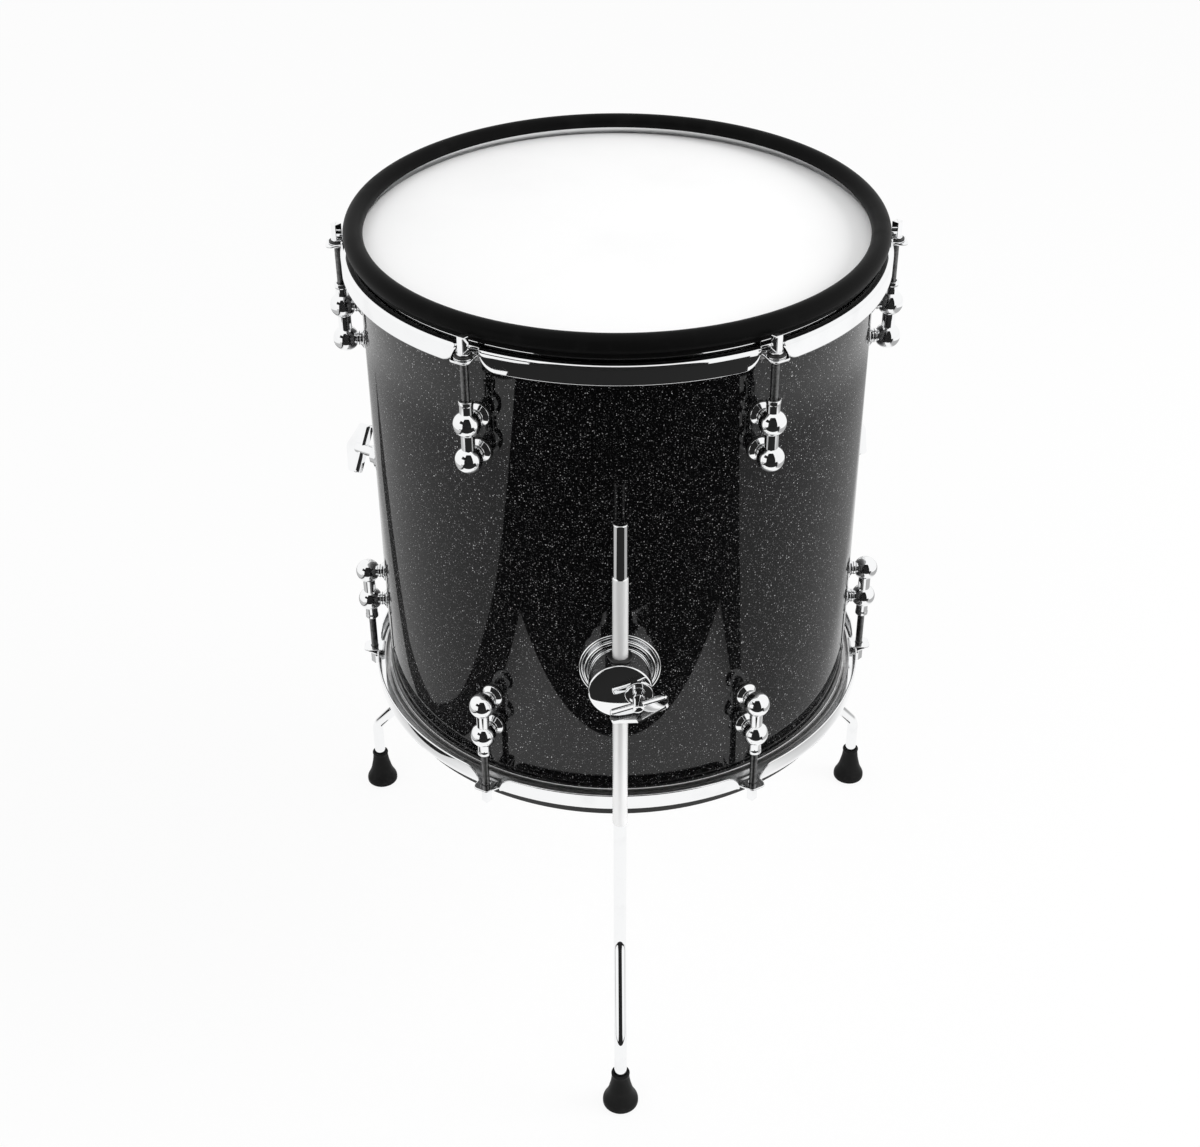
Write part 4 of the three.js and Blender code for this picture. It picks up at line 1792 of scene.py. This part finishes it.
@dataclass
class Foot:
    """A bell-shaped rubber foot with a cup round the rod."""

    sides: int = 64
    height: float = 34.0
    bore: float = 5.05
    sole: float = 8.0
    flat: float = 11.5
    toe: float = 1.2
    widest: float = 13.5
    widest_height: float = 5.0
    flare: float = 10.0
    flare_height: float = 12.0
    waist: float = 7.2
    waist_height: float = 24.0
    collar: float = 6.6
    collar_drop: float = 3.0
    lip: float = 7.1
    lip_drop: float = 1.4
    lip_bevel: float = 0.4

    def build(self, bench: Bench) -> None:
        """Makes the three feet.

        Args:
            bench: What turns drafts into pieces.
        """
        for leg in Leg:
            place = bench.datum.on_floor(leg.value) @ shift(x=bench.datum.feet)
            bench.piece(f"foot_rubber_{leg.word}", self.bell().painted(1).placed(place), f"leg_{leg.word}",
                        [f"leg_foot_{leg.word}"], Slot.RUBBER, Slot.FOOT)

    def bell(self) -> Draft:
        """Shapes the foot about Z.

        Returns:
            The draft.
        """
        return Draft.turned(filleted([
            (0, 0, 0), (self.flat, 0, 0.6), (self.widest, self.toe, 0.8),
            (self.widest, self.widest_height, 1.5),
            (self.flare, self.flare_height, 4.0), (self.waist, self.waist_height, 4.0),
            (self.collar, self.height - self.collar_drop, 1.0), (self.lip, self.height - self.lip_drop, 0.7),
            (self.lip - self.lip_bevel, self.height, 0.5), (self.bore, self.height, 0.3),
            (self.bore, self.sole, 0), (0, self.sole, 0),
        ], steps=6), self.sides)


# Studio and camera


@dataclass(frozen=True)
class Lamp:
    """A square soft lamp, in metres and watts."""

    name: str
    spot: Corner
    size: float
    power: float


@dataclass
class Studio:
    """A white room, with dark cards that only reflections see."""

    under_y: float
    floor_size: float = 24.0
    floor_colour: Colour = grey(0.9)
    sky: float = 0.75
    shown_share: float = 0.9
    card_colour: Colour = grey(0.02)
    card_lift: float = 0.002
    table_front: tuple[Point, ...] = ((-0.475, -0.5), (0.5, -0.5), (0.41, -0.27))
    right_light: tuple[Point, ...] = ((0.58, -0.41), (0.93, -0.73), (2.2, -1.8), (2.2, -2.4))
    left_light: tuple[Point, ...] = (
        (-1.6, -2.4), (-0.82, -0.86), (-0.6, -0.42), (-0.5, -0.13), (-0.475, 0.02), (-0.5, 0.2), (-0.6, 0.43),
        (-0.75, 0.77),
    )
    table_left: tuple[Point, ...] = ((-0.57, 0.6), (-0.45, 0.2), (-0.43, -0.08), (-0.445, -0.3))
    skirt_right: tuple[Point, ...] = ((1.03, -0.62), (1.25, -0.75), (0.95, -1.2), (0.746, -0.954))
    behind: tuple[Point, ...] = (
        (-0.14, 0.55), (0.14, 0.55), (0.35, 1.6), (1.0, 2.6), (-1.0, 2.6), (-0.35, 1.6),
    )
    dim_from: float = 0.35
    dim_full: float = 0.5
    dim_fades: float = 1.0
    dim_ends: float = 1.15
    dim_left: Colour = grey(0.5)
    dim_right: Colour = grey(0.38)
    flag_spot: Corner = (-1.84, -1.9, 1.95)
    flag_half: float = 0.6
    wall_distance: float = 2.4
    wall_half_width: float = 1.6
    wall_height: float = 5.0
    lamp_aim: Corner = (0.0, 0.0, 0.35)
    shoulders: tuple[Lamp, ...] = (
        Lamp("lamp_left", spot=(-1.2, -1.4, 2.4), size=1.2, power=8.0),
        Lamp("lamp_right", spot=(1.9, -0.2, 1.5), size=1.0, power=24.0),
    )

    def build(self) -> None:
        """Makes the world, the floor, the cards and the lamps."""
        self.world()
        self.floor()
        self.cards()
        self.lamps()

    @staticmethod
    def seen(tree: Tree) -> Wire:
        """Gives 1 for what the camera, a reflection or a clear body sees.

        Args:
            tree: The tree to build in.

        Returns:
            A wire that carries it.
        """
        path = tree.node("ShaderNodeLightPath")
        camera, glossy = path.output("Is Camera Ray"), path.output("Is Glossy Ray")
        return (camera + glossy + path.output("Is Transmission Ray")).minimum(1.0)

    def world(self) -> None:
        """Makes a white sky that lights the scene more softly than it shows."""
        world = bpy.data.worlds.new("sky")
        bpy.context.scene.world = world
        tree = Tree(world)
        strength = self.sky + self.seen(tree) * (1 - self.sky)
        sky = tree.node("ShaderNodeBackground", {}, {"Color": grey(1.0), "Strength": strength})
        tree.node("ShaderNodeOutputWorld", {}, {"Surface": sky})

    def floor(self) -> None:
        """Makes the floor, which shows white and keeps a soft shadow."""
        material = bpy.data.materials.new("floor")
        tree = Tree(material)
        paint = tree.node("ShaderNodeBsdfDiffuse", {}, {"Color": self.floor_colour})
        glow = tree.node("ShaderNodeEmission", {}, {"Color": self.shown(tree), "Strength": 1.0})
        factor = self.seen(tree) * self.shown_share
        tree.end(tree.node("ShaderNodeMixShader", {}, {0: factor, 1: paint, 2: glow}))
        half = self.floor_size / 2
        floor = self.sheet("floor", [(-half, -half, 0), (half, -half, 0), (half, half, 0), (-half, half, 0)],
                           material)

    def shown(self, tree: Tree) -> Wire:
        """Gives the floor's shown colour: white, but dimmer beside the drum in reflections.

        Args:
            tree: The tree to build in.

        Returns:
            A wire that carries it.
        """
        spot = tree.node("ShaderNodeSeparateXYZ", {}, {0: tree.place()})
        x, y = spot, spot.output("Y") - self.under_y
        near = 1 - ((x * x + y * y) ** 0.5).step(self.dim_fades, self.dim_ends)
        aside = abs(x).step(self.dim_from, self.dim_full)
        mirrored = tree.node("ShaderNodeLightPath", output="Is Glossy Ray")
        dim = tree.mixed(self.dim_left, self.dim_right, x > 0.0)
        return tree.mixed(grey(1.0), dim, near * aside * mirrored)

    def cards(self) -> None:
        """Makes the dark cards."""
        material = bpy.data.materials.new("card")
        tree = Tree(material)
        tree.end(tree.node("ShaderNodeBsdfDiffuse", {}, {"Color": self.card_colour}))
        front = self.table_front + self.right_light + self.left_light + self.table_left
        skirt_left = [(-x, y) for x, y in self.skirt_right]
        for name, outline in (("card_front_floor", front), ("card_back_floor", self.behind),
                              ("card_skirt_right", self.skirt_right), ("card_skirt_left", skirt_left)):
            self.card(name, [(x, y, self.card_lift) for x, y in outline], material)
        x, y, z = self.flag_spot
        half = self.flag_half
        self.card("card_flag", [(x - half, y + half, z - half), (x + half, y - half, z - half),
                                (x + half, y - half, z + half), (x - half, y + half, z + half)], material)
        side, far, top = self.wall_half_width, self.wall_distance, self.wall_height
        self.card("card_front", [(-side, -far, 0), (side, -far, 0), (side, -far, top), (-side, -far, top)],
                  material)

    @staticmethod
    def sheet(name: str, corners: Sequence[Corner], material: bpy.types.Material) -> bpy.types.Object:
        """Makes a single face.

        Args:
            name: The name to give it.
            corners: Its corners, in order.
            material: Its material.

        Returns:
            The object.
        """
        mesh = bpy.data.meshes.new(name)
        mesh.from_pydata(corners, [], [tuple(range(len(corners)))])
        mesh.materials.append(material)
        return linked(name, mesh)

    def card(self, name: str, corners: Sequence[Corner], material: bpy.types.Material) -> None:
        """Makes a card that only reflections see.

        Args:
            name: The name to give it.
            corners: Its corners, in order.
            material: Its material.
        """
        card = self.sheet(name, corners, material)
        card.visible_camera = False
        card.visible_diffuse = False
        card.visible_transmission = False
        card.visible_shadow = False

    def lamps(self) -> None:
        """Hangs a broad soft lamp over each shoulder of the camera."""
        for lamp in self.shoulders:
            light = bpy.data.lights.new(lamp.name, "AREA")
            light.size = lamp.size
            light.energy = lamp.power
            made = linked(lamp.name, light)
            made.location = lamp.spot
            made.rotation_mode = "QUATERNION"
            made.rotation_quaternion = (Vector(self.lamp_aim) - made.location).to_track_quat("-Z", "Y")
            made.visible_glossy = False


@dataclass
class Viewpoint:
    """The photograph's camera, fitted to the drum."""

    target: Corner = (0.0, 36.75, 318.13)
    distance: float = 1444.75
    elevation: float = 34.904
    yaw: float = 0.6
    focal_pixels: float = 1856.64
    frame_pixels: float = 1200.0
    sensor: float = 36.0
    shift_x: float = -0.01424

    def build(self) -> None:
        """Makes the camera and sets it as the scene's."""
        yaw, rise = math.radians(self.yaw), math.radians(self.elevation)
        level = math.cos(rise)
        back = Vector((-math.sin(yaw) * level, -math.cos(yaw) * level, math.sin(rise)))
        data = bpy.data.cameras.new("camera")
        data.sensor_width = self.sensor
        data.lens = self.focal_pixels / self.frame_pixels * self.sensor
        data.shift_x = self.shift_x
        camera = linked("camera", data)
        camera.location = (Vector(self.target) + back * self.distance) * MM
        camera.rotation_mode = "QUATERNION"
        camera.rotation_quaternion = (-back).to_track_quat("-Z", "Y")
        bpy.context.scene.camera = camera


def main() -> None:
    """Builds the camera, the drum and the studio."""
    logging.basicConfig(level=logging.INFO, format="%(message)s")
    bpy.context.scene.view_settings.view_transform = "Standard"
    Viewpoint().build()
    bench = Bench(Datum.read(), Palette())
    log.info("datum: %s", bench.datum)
    Shell().build(bench)
    for side in Side:
        Head().build(bench, side)
        Hoop().build(bench, side)
        Lug().build(bench, side)
        TensionRod().build(bench, side)
    RimCover().build(bench)
    Bracket().build(bench)
    WingScrew().build(bench)
    LegRod().build(bench)
    Foot().build(bench)
    Studio(under_y=bench.datum.axis_y * MM).build()


if __name__ == "__main__":
    main()
